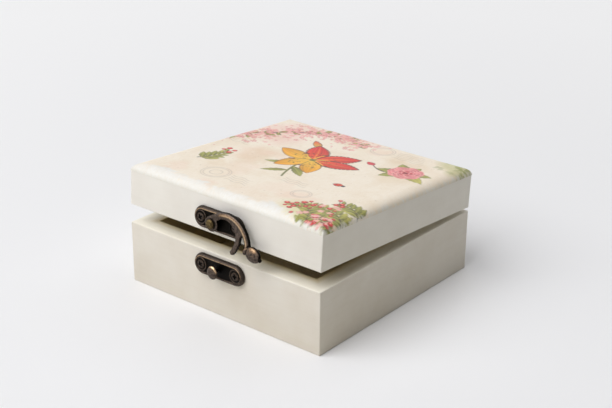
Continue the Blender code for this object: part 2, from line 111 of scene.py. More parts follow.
class Wire:
    """A value in a shader graph, on which Python arithmetic adds Math nodes."""

    def __init__(self, graph: "ShaderGraph", socket: NodeSocket) -> None:
        """Wrap an output socket of a graph."""
        self.graph = graph
        self.socket = socket

    def _math(self, operation: str, *values: "Wire | float") -> "Wire":
        """Add one Math node."""
        return self.graph.node("ShaderNodeMath", {"operation": operation}, dict(enumerate(values)))

    def __add__(self, other: "Wire | float") -> "Wire":
        """Sum."""
        return self._math("ADD", self, other)

    def __radd__(self, other: float) -> "Wire":
        """Sum, reflected."""
        return self._math("ADD", other, self)

    def __sub__(self, other: "Wire | float") -> "Wire":
        """Difference."""
        return self._math("SUBTRACT", self, other)

    def __rsub__(self, other: float) -> "Wire":
        """Difference, reflected."""
        return self._math("SUBTRACT", other, self)

    def __mul__(self, other: "Wire | float") -> "Wire":
        """Product."""
        return self._math("MULTIPLY", self, other)

    def __rmul__(self, other: float) -> "Wire":
        """Product, reflected."""
        return self._math("MULTIPLY", other, self)

    def __abs__(self) -> "Wire":
        """Distance from zero."""
        return self._math("ABSOLUTE", self)

    def at_least(self, other: "Wire | float") -> "Wire":
        """The larger of two values."""
        return self._math("MAXIMUM", self, other)


class ShaderGraph:
    """The node tree of a material or a world, with one method that adds any node."""

    def __init__(self, owner: Material | World) -> None:
        """Open the tree of a new material or world."""
        owner.use_nodes = True
        self.owner, self.tree = owner, owner.node_tree

    def node(
        self,
        kind: str,
        settings: dict[str, object] | None = None,
        inputs: dict[int | str, object] | None = None,
        output: int | str = 0,
    ) -> Wire:
        """Add a node.

        Args:
            kind: The node's type.
            settings: Its properties, set first. "stops" holds a ramp's (place, value) pairs.
            inputs: Values or wires for its input sockets.
            output: The output socket that is wanted.

        Returns:
            The wire of that output.
        """
        made = self.tree.nodes.new(kind)
        for name, value in (settings or {}).items():
            if name == "stops":
                self._fill_ramp(made.color_ramp, value)
            else:
                setattr(made, name, value)
        for name, value in (inputs or {}).items():
            self.feed(made.inputs[name], value)
        return Wire(self, made.outputs[output])

    @staticmethod
    def _fill_ramp(ramp: ColorRamp, stops: Sequence[Point]) -> None:
        """Give a ramp its grey stops.

        Args:
            ramp: The ramp.
            stops: The place and the grey value of each stop.
        """
        while len(ramp.elements) > 1:
            ramp.elements.remove(ramp.elements[-1])
        for index, (place, value) in enumerate(stops):
            stop = ramp.elements[0] if index == 0 else ramp.elements.new(place)
            stop.position = place
            stop.color = (value, value, value, 1.0)

    def feed(self, socket: NodeSocket, value: object) -> None:
        """Link a wire to a socket, or set the socket's own value.

        Args:
            socket: The input socket.
            value: A wire, a number or a colour.
        """
        if isinstance(value, Wire):
            self.tree.links.new(value.socket, socket)
        elif isinstance(value, tuple) and len(value) == 3 and socket.type == "RGBA":
            socket.default_value = (*value, 1.0)
        else:
            socket.default_value = value

    def end(self, node: str, socket: str, value: object) -> None:
        """Feed a node that the tree began with."""
        self.feed(self.tree.nodes[node].inputs[socket], value)

    def place(self, stretch: Triple = (1.0, 1.0, 1.0)) -> Wire:
        """Give the object's own coordinates, stretched along each axis."""
        own = self.node("ShaderNodeTexCoord", output="Object")
        return self.node("ShaderNodeMapping", None, {"Vector": own, "Scale": stretch})

    def axis(self, name: str) -> Wire:
        """Give one of the object's own coordinates, by its name X, Y or Z."""
        own = self.node("ShaderNodeTexCoord", output="Object")
        return self.node("ShaderNodeSeparateXYZ", None, {0: own}, name)

    def noise(self, size: float, detail: float, roughness: float = 0.55, place: Wire | None = None) -> Wire:
        """Add a noise.

        Args:
            size: Width of one blot, in metres.
            detail: Octaves of finer noise on it.
            roughness: How strong the finer octaves are.
            place: Coordinates, or none for the object's own.

        Returns:
            The noise, from 0 to 1 round a mean of a half.
        """
        where = place or self.place()
        inputs = {"Vector": where, "Scale": 1 / size, "Detail": detail, "Roughness": roughness}
        return self.node("ShaderNodeTexNoise", None, inputs)

    def ramp(self, value: Wire, *stops: Point) -> Wire:
        """Run a value through a grey ramp."""
        return self.node("ShaderNodeValToRGB", {"stops": stops}, {"Fac": value})

    def mix(self, share: Wire | float, first: object, second: object, blend: str = "MIX") -> Wire:
        """Blend two colours, where the share says how much of the second one shows."""
        settings = {"data_type": "RGBA", "blend_type": blend}
        return self.node("ShaderNodeMix", settings, {0: share, 6: first, 7: second}, output=2)

    def attribute(self, name: str, output: str = "Fac") -> Wire:
        """Read an attribute of the mesh."""
        return self.node("ShaderNodeAttribute", {"attribute_name": name}, output=output)

    def bump(self, height: Wire, depth: float, strength: float) -> Wire:
        """Turn a height from 0 to 1 into a bumped normal, where depth says how many metres 1 stands for."""
        inputs = {"Height": height, "Distance": depth, "Strength": strength}
        return self.node("ShaderNodeBump", None, inputs)

    def dress(self, **sockets: object) -> Material:
        """Feed the Principled shader.

        Args:
            sockets: Values or wires by the sockets' names, with underscores for spaces.

        Returns:
            The material.
        """
        for name, value in sockets.items():
            socket = name.replace("_", " ").title().replace("Ior", "IOR")
            self.end("Principled BSDF", socket, value)
        return self.owner


# Finishes


DECIMETRES = 10.0


@dataclass(frozen=True)
class Paint:
    """Satin cream paint, brushed in thin coats over sanded wood.

    The inside colour shows inside the walls. The rim colour is a painted highlight that shows above the rim's
    level, in metres.
    """

    name: str = "cream_paint"
    colour: Colour = ink(244, 240, 235)
    shade: Colour = ink(237, 232, 226)
    inside: Colour = ink(220, 203, 161)
    # painted highlight: lighter paint for the top of the base's rim, standing in for light on it
    rim: Colour = ink(245, 240, 226)
    lit_rim_level: float = 1.0
    roughness: float = 0.42
    coat: float = 0.12
    coat_roughness: float = 0.3
    relief: float = 0.00006

    def material(self) -> Material:
        """Build the material.

        Returns:
            The material.
        """
        graph = ShaderGraph(bpy.data.materials.new(self.name))
        clouds = graph.noise(22 * MM, 3)
        strokes = graph.noise(1.6 * MM, 4, 0.6, graph.place((0.05, 0.05, 1.0)))
        grit = graph.noise(0.25 * MM, 2)
        tone = graph.mix(graph.ramp(clouds, (0.35, 0.0), (0.7, 1.0)), self.colour, self.shade)
        streaks = graph.ramp(strokes, (0.45, 0.0), (0.75, 0.08))
        tone = graph.mix(streaks, tone, self.shade, "MULTIPLY")
        # painted highlight: above this level the top of the rim takes the lighter rim colour
        level = DECIMETRES * self.lit_rim_level
        on_lit_rim = graph.ramp(DECIMETRES * graph.axis("Z"), (level - 0.0025, 0.0), (level - 0.0005, 1.0))
        tone = graph.mix(on_lit_rim, tone, self.rim)
        outward = DECIMETRES * abs(graph.axis("X")).at_least(abs(graph.axis("Y")))
        tone = graph.mix(graph.ramp(outward, (0.502, 1.0), (0.54, 0.0)), tone, self.inside)
        return graph.dress(
            base_color=tone,
            roughness=self.roughness + 0.12 * clouds + 0.08 * grit - 0.1,
            normal=graph.bump(strokes * 0.7 + grit * 0.3, self.relief, 0.5),
            coat_weight=self.coat,
            coat_roughness=self.coat_roughness,
        )


@dataclass(frozen=True)
class Paper:
    """Printed paper glued over the lid and sealed with satin varnish."""

    name: str = "printed_paper"
    age: Colour = ink(226, 207, 176)
    fibre: Colour = ink(249, 246, 241)
    roughness: float = 0.48
    coat: float = 0.1
    coat_roughness: float = 0.34
    relief: float = 0.00005

    def material(self) -> Material:
        """Build the material. The print itself is the mesh's own colour attribute.

        Returns:
            The material.
        """
        graph = ShaderGraph(bpy.data.materials.new(self.name))
        blotches = graph.noise(17 * MM, 5, 0.62)
        fibres = graph.noise(0.9 * MM, 5, 0.7, graph.place((1.0, 0.3, 1.0)))
        grain = graph.noise(0.22 * MM, 2)
        varnish = graph.noise(2.6 * MM, 3, 0.5, graph.place((0.25, 1.0, 1.0)))
        aged = graph.mix(graph.ramp(blotches, (0.46, 0.0), (0.74, 0.26)), WHITE, self.age)
        tone = graph.mix(1.0, graph.attribute("print", "Color"), aged, "MULTIPLY")
        mottle = graph.mix(graph.ramp(fibres, (0.35, 0.0), (0.7, 1.0)), self.fibre, WHITE)
        return graph.dress(
            base_color=graph.mix(1.0, tone, mottle, "MULTIPLY"),
            roughness=self.roughness + 0.16 * varnish - 0.05,
            normal=graph.bump(0.45 * grain + 0.25 * fibres + 0.9 * varnish, self.relief, 0.6),
            coat_weight=self.coat,
            coat_roughness=self.coat_roughness,
        )


@dataclass(frozen=True)
class Bronze:
    """Dark antique bronze: a blackened casting, bare metal at its raised edges, with painted highlights in the
    bright colour and painted shade in the dark one.
    """

    name: str = "antique_bronze"
    # dark: patina, and painted shade where the pieces mark it
    dark: Colour = ink(17, 14, 11)
    flat: Colour = ink(96, 84, 76)
    copper: Colour = ink(122, 96, 72)
    # bright metal colour: bare metal from rubbing, and painted highlights
    rubbed_and_lit: Colour = ink(190, 164, 132)
    smooth: float = 0.3
    rough: float = 0.48
    relief: float = 0.00005

    def material(self) -> Material:
        """Build the material from the piece's two attributes: the bright share, from rubbing and painted
        highlights, and the dark share, from patina and painted shade.

        Returns:
            The material.
        """
        graph = ShaderGraph(bpy.data.materials.new(self.name))
        patches = graph.noise(1.1 * MM, 4, 0.6)
        pits = graph.noise(0.26 * MM, 3, 0.6)
        streaks = graph.noise(0.55 * MM, 3, 0.6)
        # the bright share holds bare metal from rubbing and painted highlights; the dark share holds patina and
        # painted shade
        rub = graph.attribute("rub") + 0.7 * patches + 0.45 * streaks - 0.62
        sunk = graph.attribute("sunk") + 0.5 * patches - 0.25
        tone = graph.mix(graph.ramp(patches, (0.36, 0.35), (0.6, 1.0)), self.dark, self.flat)
        tone = graph.mix(graph.ramp(sunk, (0.12, 0.0), (0.6, 1.0)), tone, self.dark)
        tone = graph.mix(graph.ramp(rub, (0.14, 0.0), (0.5, 0.9)), tone, self.copper)
        # where the bright metal colour shows: bare metal from rubbing, and painted highlights
        worn_and_lit = graph.ramp(rub, (0.44, 0.0), (0.9, 1.0))
        return graph.dress(
            base_color=graph.mix(worn_and_lit, tone, self.rubbed_and_lit),
            metallic=1.0,
            roughness=self.rough + (self.smooth - self.rough) * worn_and_lit + 0.16 * pits - 0.08,
            normal=graph.bump(0.6 * pits + 0.4 * patches, self.relief, 0.6),
        )


@dataclass(frozen=True)
class Board:
    """Thin board let into the underside, painted less carefully than the walls."""

    name: str = "painted_board"
    colour: Colour = ink(221, 206, 170)
    bare: Colour = ink(199, 180, 142)
    roughness: float = 0.52
    relief: float = 0.00008

    def material(self) -> Material:
        """Build the material.

        Returns:
            The material.
        """
        graph = ShaderGraph(bpy.data.materials.new(self.name))
        clouds = graph.noise(9 * MM, 4)
        fibres = graph.noise(0.8 * MM, 4, 0.65, graph.place((0.08, 1.0, 1.0)))
        thin = graph.ramp(clouds * 0.35 + fibres * 0.65, (0.46, 0.0), (0.72, 0.5))
        return graph.dress(
            base_color=graph.mix(thin, self.colour, self.bare),
            roughness=self.roughness + 0.16 * fibres,
            normal=graph.bump(fibres, self.relief, 0.5),
        )


LID_PAINT = Paint()
# the base's top rim, above its level, gets the lighter rim colour as a painted highlight
BASE_PAINT = Paint("cream_paint_base", ink(233, 227, 219), ink(225, 217, 206), lit_rim_level=0.032)
# the brass's last colour also shows painted highlights, and its first painted shade
BRASS = Bronze("worn_brass", ink(24, 19, 11), ink(82, 68, 45), ink(104, 88, 57), ink(166, 146, 102))


@dataclass
class Finishes:
    """The box's materials, each made once."""

    lid_paint: Material = field(default_factory=LID_PAINT.material)
    base_paint: Material = field(default_factory=BASE_PAINT.material)
    paper: Material = field(default_factory=Paper().material)
    bronze: Material = field(default_factory=Bronze().material)
    brass: Material = field(default_factory=BRASS.material)
    board: Material = field(default_factory=Board().material)


# Wear and painted light


def step(values: Array, low: float, high: float) -> Array:
    """Ease from 0 at one value to 1 at another."""
    share = np.clip((values - low) / (high - low), 0, 1)
    return share * share * (3 - 2 * share)


@dataclass(frozen=True)
class Skin:
    """A piece's points as the rules for rubbing, patina and painted light find them: places in millimetres,
    normals, and how far the surface bends.
    """

    places: Array
    normals: Array
    bend: Array

    @property
    def height(self) -> Array:
        """How far the points lie along local Z."""
        return self.places[:, 2]

    @property
    def lift(self) -> Array:
        """How far the surface looks along local Z, from -1 to 1."""
        return self.normals[:, 2]

    def facing(self, side: Triple, low: float, high: float) -> Array:
        """Ease from 0 to 1 as the surface turns towards a side."""
        return step(self.normals @ np.array(side), low, high)


# a rule gives the bright share, from rubbing and painted highlights, and the dark share, from patina and
# painted shade
WearAndLightRule = Callable[[Skin], Shares]


def plain_wear(skin: Skin) -> Shares:
    """Rub the edges and leave the hollows dark."""
    return step(skin.bend, 0.5, 3.0), step(-skin.bend, 0.3, 2.0)


# Mesh helpers


def in_mm(points: Iterable[Point]) -> list[Point]:
    """Points given in millimetres, in metres."""
    return [(first * MM, second * MM) for first, second in points]


def of_kind(items: Iterable[object], kind: type) -> list:
    """The vertices, edges or faces among what an operator gives back."""
    return [item for item in items if isinstance(item, kind)]


def vectors(mesh: Mesh, name: str) -> Array:
    """Read a vector of every vertex.

    Args:
        mesh: The mesh.
        name: Which vector, such as "co" or "normal".

    Returns:
        One row for each vertex.
    """
    values = np.zeros(len(mesh.vertices) * 3, np.float32)
    mesh.vertices.foreach_get(name, values)
    return values.reshape(-1, 3).astype(float)


def link(name: str, data: ID) -> Object:
    """Put a new object in the scene.

    Args:
        name: Its name.
        data: Its mesh, camera or lamp.

    Returns:
        The object.
    """
    thing = bpy.data.objects.new(name, data)
    bpy.context.scene.collection.objects.link(thing)
    return thing


@contextmanager
def edited(mesh: Mesh) -> Iterator[BMesh]:
    """Lend a mesh to the bmesh operators, and write it back afterwards.

    Args:
        mesh: The mesh.

    Yields:
        The bmesh that the operators work on.
    """
    bm = bmesh.new()
    bm.from_mesh(mesh)
    yield bm
    bm.to_mesh(mesh)
    bm.free()


def block(bm: BMesh, size: Triple, place: Matrix) -> None:
    """Add a block round a place."""
    bmesh.ops.create_cube(bm, size=1.0, matrix=place @ Matrix.Diagonal((*size, 1.0)))


def rounded(bm: BMesh, edges: Sequence[BMEdge], radius: float) -> None:
    """Round some edges."""
    bmesh.ops.bevel(bm, geom=edges, offset=radius, segments=4, profile=0.5, affect="EDGES", material=-1)


def raised(bm: BMesh, face: BMFace, rise: float) -> list[BMVert | BMEdge | BMFace]:
    """Extrude a face along Z. The face itself stays where it is.

    Args:
        bm: The mesh.
        face: The face.
        rise: How far its copy moves.

    Returns:
        The copy's vertices, edges and face.
    """
    moved = bmesh.ops.extrude_face_region(bm, geom=[face])["geom"]
    bmesh.ops.translate(bm, vec=(0, 0, rise), verts=of_kind(moved, BMVert))
    return moved


def arc(centre: Point, radius: float, start: float, end: float, facet: float = radians(5)) -> list[Point]:
    """Points of an arc.

    Args:
        centre: Its centre.
        radius: Its radius.
        start: First angle.
        end: Last angle.
        facet: Sweep of one facet.

    Returns:
        The points, both ends included.
    """
    count = max(2, round(abs(end - start) / facet))
    angles = [start + (end - start) * index / count for index in range(count + 1)]
    return [(centre[0] + radius * cos(angle), centre[1] + radius * sin(angle)) for angle in angles]


# Workshop


class Workshop:
    """Turns meshes into finished pieces."""

    @staticmethod
    def piece(name: str, bm: BMesh, place: Matrix | None = None, sharp: float = 40.0) -> Object:
        """Make an object at the origin from a closed mesh.

        Args:
            name: The piece's name.
            bm: Its mesh, which is used up.
            place: Where the mesh goes in the model's frame.
            sharp: Edges that turn by more degrees than this stay sharp.

        Returns:
            The new object.
        """
        bmesh.ops.remove_doubles(bm, verts=bm.verts, dist=MERGE_DISTANCE)
        bmesh.ops.recalc_face_normals(bm, faces=bm.faces)
        mesh = bpy.data.meshes.new(name)
        bm.to_mesh(mesh)
        bm.free()
        if place:
            mesh.transform(place)
        mesh.shade_smooth()
        mesh.set_sharp_from_angle(angle=radians(sharp))
        return link(name, mesh)

    @staticmethod
    def apply(thing: Object) -> None:
        """Bake an object's modifiers into its mesh.

        Args:
            thing: The object.
        """
        graph = bpy.context.evaluated_depsgraph_get()
        mesh = bpy.data.meshes.new_from_object(thing.evaluated_get(graph))
        thing.modifiers.clear()
        old, thing.data = thing.data, mesh
        mesh.name = thing.name
        bpy.data.meshes.remove(old)

    @classmethod
    def carve(cls, thing: Object, cutters: Iterable[Object]) -> None:
        """Cut other objects out of a piece, and remove them.

        Args:
            thing: The piece.
            cutters: The objects that are cut out of it.
        """
        for cutter in cutters:
            cut = thing.modifiers.new("Carve", "BOOLEAN")
            cut.operation = "DIFFERENCE"
            cut.solver = "EXACT"
            cut.object = cutter
            cls.apply(thing)
            bpy.data.objects.remove(cutter, do_unlink=True)

    @classmethod
    def cast(cls, thing: Object, grain: float, passes: int = 3) -> None:
        """Melt overlapping closed shells into one casting with softened edges.

        Args:
            thing: The object that holds the shells.
            grain: Size of the casting's facets.
            passes: How often its surface is smoothed.
        """
        melt = thing.modifiers.new("Cast", "REMESH")
        melt.mode = "VOXEL"
        melt.voxel_size = grain
        melt.adaptivity = 0.0
        cls.apply(thing)
        with edited(thing.data) as bm:
            for _ in range(passes):
                bmesh.ops.smooth_vert(
                    bm, verts=bm.verts, factor=0.5, use_axis_x=True, use_axis_y=True, use_axis_z=True
                )
        thing.data.shade_smooth()

    @staticmethod
    def paint_wear_and_light(thing: Object, rule: WearAndLightRule, passes: int = 3) -> None:
        """Write where a piece is bright, from rubbing and painted highlights, and where it is dark, from patina
        and painted shade, to its two attributes.

        Args:
            thing: The piece, still in its own frame.
            rule: Gives both shares from the piece's skin.
            passes: How often the bend is spread to the neighbours first.
        """
        mesh = thing.data
        count = len(mesh.vertices)
        places, normals = vectors(mesh, "co") / MM, vectors(mesh, "normal")
        ends = np.zeros(len(mesh.edges) * 2, np.int32)
        mesh.edges.foreach_get("vertices", ends)
        first, second = ends.reshape(-1, 2).T
        reach = places[second] - places[first]
        length = np.maximum((reach**2).sum(1), 1e-6)
        neighbours = np.maximum(np.bincount(first, minlength=count) + np.bincount(second, minlength=count), 1)

        def gather(to_first: Array, to_second: Array) -> Array:
            """Average what each edge hands to its two ends."""
            total = np.bincount(first, to_first, count) + np.bincount(second, to_second, count)
            return total / neighbours

        leaving = -2 * (normals[first] * reach).sum(1) / length
        arriving = 2 * (normals[second] * reach).sum(1) / length
        bend = gather(leaving, arriving)
        for _ in range(passes):
            bend = 0.5 * bend + 0.5 * gather(bend[second], bend[first])
        # bright share: rubbing and painted highlights; dark share: patina and painted shade
        for name, values in zip(("rub", "sunk"), rule(Skin(places, normals, bend))):
            layer = mesh.attributes.new(name, "FLOAT", "POINT")
            layer.data.foreach_set("value", np.clip(values, 0, 1).astype(np.float32))

    @staticmethod
    def hand_over(
        thing: Object, material: Material, body: Body, slot: Slot, stands_for: Sequence[str]
    ) -> None:
        """Dress a finished piece and let it ride on its body.

        Args:
            thing: The piece.
            material: Its finish.
            body: The body that it rides on.
            slot: The record's slot for its finish; not used.
            stands_for: The solids that it replaces.
        """
        thing.data.materials.clear()
        thing.data.materials.append(material)
        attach(thing, body.value)
        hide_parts(*stands_for)
        log.info("%s: %d faces on %s", thing.name, len(thing.data.polygons), body.value)

    @classmethod
    def turned(cls, bm: BMesh, profile: Sequence[Point], steps: int, place: Matrix | None = None) -> None:
        """Turn a profile about local Z.

        Args:
            bm: The mesh that takes it.
            profile: (radius, height) points that begin and end on the axis.
            steps: Facets round the turn.
            place: Where it goes.
        """
        points = [bm.verts.new((radius, 0, height)) for radius, height in profile]
        edges = [bm.edges.new(pair) for pair in zip(points, points[1:])]
        spun = bmesh.ops.spin(
            bm, geom=points + edges, cent=(0, 0, 0), axis=(0, 0, 1), angle=2 * pi, steps=steps, use_merge=True
        )
        verts = {*points, *of_kind(spun["geom_last"], BMVert)}
        bmesh.ops.remove_doubles(bm, verts=cls._connected(verts), dist=MERGE_DISTANCE)
        if place:
            alive = cls._connected({vert for vert in verts if vert.is_valid})
            bmesh.ops.transform(bm, matrix=place, verts=alive)

    @staticmethod
    def _connected(seeds: Iterable[BMVert]) -> list[BMVert]:
        """Follow the edges from some vertices.

        Args:
            seeds: The vertices to start from.

        Returns:
            Every vertex that edges join to them.
        """
        found = set(seeds)
        waiting = list(found)
        while waiting:
            for edge in waiting.pop().link_edges:
                for vert in edge.verts:
                    if vert not in found:
                        found.add(vert)
                        waiting.append(vert)
        return list(found)

    @staticmethod
    def swept(bm: BMesh, profile: Sequence[Point], centre: Point, start: float, end: float, steps: int) -> None:
        """Sweep a closed profile along an arc in the plane.

        Args:
            bm: The mesh that takes it.
            profile: (radius, height) points of the closed section.
            centre: The arc's centre.
            start: Angle at which it starts.
            end: Angle at which it ends.
            steps: Facets along the arc.
        """
        middle = Vector((*centre, 0))
        out = Vector((cos(start), sin(start), 0))
        corners = [middle + out * radius + Vector((0, 0, height)) for radius, height in profile]
        section = bm.faces.new([bm.verts.new(corner) for corner in corners])
        whole = [section, *section.edges, *section.verts]
        bmesh.ops.spin(
            bm, geom=whole, cent=middle, axis=(0, 0, 1), angle=end - start, steps=steps, use_merge=False
        )

    @staticmethod
    def slab(bm: BMesh, outline: Sequence[Point], bottom: float, top: float, rounding: float = 0.0) -> None:
        """Raise a flat outline, and round its upper edge.

        Args:
            bm: The mesh that takes it.
            outline: Corners of the outline.
            bottom: Height of its underside.
            top: Height of its upper side.
            rounding: Radius of the upper edge.
        """
        face = bm.faces.new([bm.verts.new((u, v, bottom)) for u, v in outline])
        upper = set(of_kind(raised(bm, face, top - bottom), BMVert))
        if rounding:
            around = {edge for vert in upper for edge in vert.link_edges}
            rounded(bm, [edge for edge in around if set(edge.verts) <= upper], rounding)


# Places


@dataclass(frozen=True)
class Layout:
    """Sizes and places that the pieces share."""

    width: float = 0.120
    depth: float = 0.120
    base_height: float = 0.032
    lid_height: float = 0.0215
    wall: float = 0.010
    line_gap: float = 0.0015
    gap: float = 0.0003
    round_inward: float = 0.0060
    round_drop: float = 0.0040
    lid_angle: float = radians(3.75)
    hinge_y: float = 0.0618
    hinge_z: float = 0.03275
    hinge_x: float = 0.036

    @property
    def lid_bottom(self) -> float:
        """Height of the level lid's rim."""
        return self.base_height + self.line_gap

    @property
    def lid_top(self) -> float:
        """Height of the level lid's top."""
        return self.lid_bottom + self.lid_height

    @property
    def tilt(self) -> Matrix:
        """Find what takes the level lid to where it rests.

        Returns:
            A turn about the hinge line.
        """
        hinge = Vector((0, self.hinge_y, self.hinge_z))
        turn = Matrix.Rotation(-self.lid_angle, 4, "X")
        return Matrix.Translation(hinge) @ turn @ Matrix.Translation(-hinge)

    def on_front(self, x: float, z: float) -> Matrix:
        """Local X to the right on the latch face, local Y up and local Z out of the wall."""
        return Matrix.Translation((x, -self.depth / 2, z)) @ Matrix.Rotation(pi / 2, 4, "X")


LAYOUT = Layout()


# Wooden case


@dataclass
class PaintedCase:
    """The base's and the lid's painted walls, each one shell without seams."""

    finishes: Finishes
    layout: Layout = LAYOUT
    floor_thickness: float = 0.004
    floor_rebate: float = 0.005
    ceiling: float = 0.0153
    edge_round: float = 0.00055
    gain_half_length: float = 0.0093
    gain_reach: float = 0.0085
    gain_depth: float = 0.0004

    def build(self) -> None:
        """Make both shells and dress the floor."""
        self._base()
        self._lid()
        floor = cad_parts["base_floor"]
        floor.data.materials.clear()
        floor.data.materials.append(self.finishes.board)

    def _box(self, bm: BMesh, bottom: float, top: float) -> None:
        """Start a shell from a block between two heights."""
        size = (self.layout.width, self.layout.depth, top - bottom)
        block(bm, size, Matrix.Translation((0, 0, (bottom + top) / 2)))

    @staticmethod
    def _inset(bm: BMesh, up: float, inset: float, rise: float = 0.0) -> BMFace:
        """Inset the largest flat face that looks up or down, and push it into the block.

        Args:
            bm: The shell.
            up: 1 for a face that looks up, -1 for one that looks down.
            inset: Width of the border left round it.
            rise: How far it moves along Z.

        Returns:
            The inner face.
        """
        bm.normal_update()
        level = [face for face in bm.faces if face.normal.z * up > 0.9]
        inner = max(level, key=lambda face: face.calc_area())
        bmesh.ops.inset_region(bm, faces=[inner], thickness=inset, use_even_offset=True)
        if rise:
            moved = raised(bm, inner, rise)
            bmesh.ops.delete(bm, geom=[inner], context="FACES_ONLY")
            inner = of_kind(moved, BMFace)[0]
        return inner

    def _soften(self, bm: BMesh, spare: Callable[[BMEdge], bool]) -> None:
        """Round every edge but those that are spared."""
        rounded(bm, [edge for edge in bm.edges if not spare(edge)], self.edge_round)

    @staticmethod
    def _flat(edge: BMEdge) -> bool:
        """Whether the faces on both sides of an edge lie in one plane."""
        return len(edge.link_faces) == 2 and edge.calc_face_angle(0.0) < radians(5)

    @staticmethod
    def _walls(owner: Body) -> list[str]:
        """Names of the four walls of the base or the lid."""
        return [f"{owner.value}_{side}_wall" for side in ("front", "back", "left", "right")]

    def _gains(self, bottom: float, top: float) -> list[Object]:
        """Make cutters for the shallow seats of the hinge leaves.

        Args:
            bottom: Height of their undersides.
            top: Height of their upper sides.

        Returns:
            The cutters.
        """
        cutters = []
        for side in (-1, 1):
            bm = bmesh.new()
            size = (2 * self.gain_half_length, 2 * self.gain_reach, top - bottom)
            spot = (side * self.layout.hinge_x, self.layout.depth / 2, (bottom + top) / 2)
            block(bm, size, Matrix.Translation(spot))
            cutters.append(Workshop.piece("gain", bm))
        return cutters

    def _base(self) -> None:
        """Make the base: four walls in one shell, rebated below for the floor."""
        layout, rim = self.layout, self.layout.base_height
        bm = bmesh.new()
        self._box(bm, 0, rim)
        self._inset(bm, -1, layout.wall - self.floor_rebate, self.floor_thickness + layout.gap)
        low = self._inset(bm, -1, self.floor_rebate)
        high = self._inset(bm, 1, layout.wall)
        loops = [*low.edges, *high.edges]
        bmesh.ops.delete(bm, geom=[low, high], context="FACES_ONLY")
        bmesh.ops.bridge_loops(bm, edges=loops)
        self._soften(bm, lambda edge: edge.is_boundary or self._flat(edge))
        shell = Workshop.piece("base_shell", bm)
        Workshop.carve(shell, self._gains(rim - self.gain_depth, rim + layout.wall))
        Workshop.hand_over(shell, self.finishes.base_paint, Body.BASE, Slot.PAINT, self._walls(Body.BASE))

    def _lid(self) -> None:
        """Make the lid below its papered top: walls and ceiling in one shell."""
        layout, rim = self.layout, self.layout.lid_bottom
        seat = layout.lid_top - layout.round_drop
        bm = bmesh.new()
        self._box(bm, rim, seat)
        self._inset(bm, -1, layout.wall, self.ceiling)

        def spare(edge: BMEdge) -> bool:
            """Whether an edge is flat or lies under the paper."""
            return self._flat(edge) or all(vert.co.z > seat - layout.gap for vert in edge.verts)

        self._soften(bm, spare)
        shell = Workshop.piece("lid_shell", bm)
        Workshop.carve(shell, self._gains(rim - layout.wall, rim + self.gain_depth))
        shell.data.transform(layout.tilt)
        stands_for = [*self._walls(Body.LID), "lid_top_panel"]
        Workshop.hand_over(shell, self.finishes.lid_paint, Body.LID, Slot.PAINT, stands_for)


# Printed paper


def spot_from(at: Point, angle: float, along: float, across: float = 0.0) -> Point:
    """Find the spot that lies so far along a direction, in degrees, and so far to the left of it."""
    turn = radians(angle)
    return at[0] + along * cos(turn) - across * sin(turn), at[1] + along * sin(turn) + across * cos(turn)


@dataclass(frozen=True)
class Petal:
    """Shape and colours of a printed petal or leaf, in millimetres.

    It is widest near the tip with blunt above 1, and near the root below 1. Bow is how far the tip bends
    aside.
    """

    length: float
    width: float
    base: Colour
    tip: Colour
    rim: Colour | None = None
    rib: Colour | None = None
    blunt: float = 1.3
    bow: float = 0.0
    veins: float = 0.2
    teeth: float = 0.0
    rim_width: float = 0.6
    rim_cover: float = 1.0


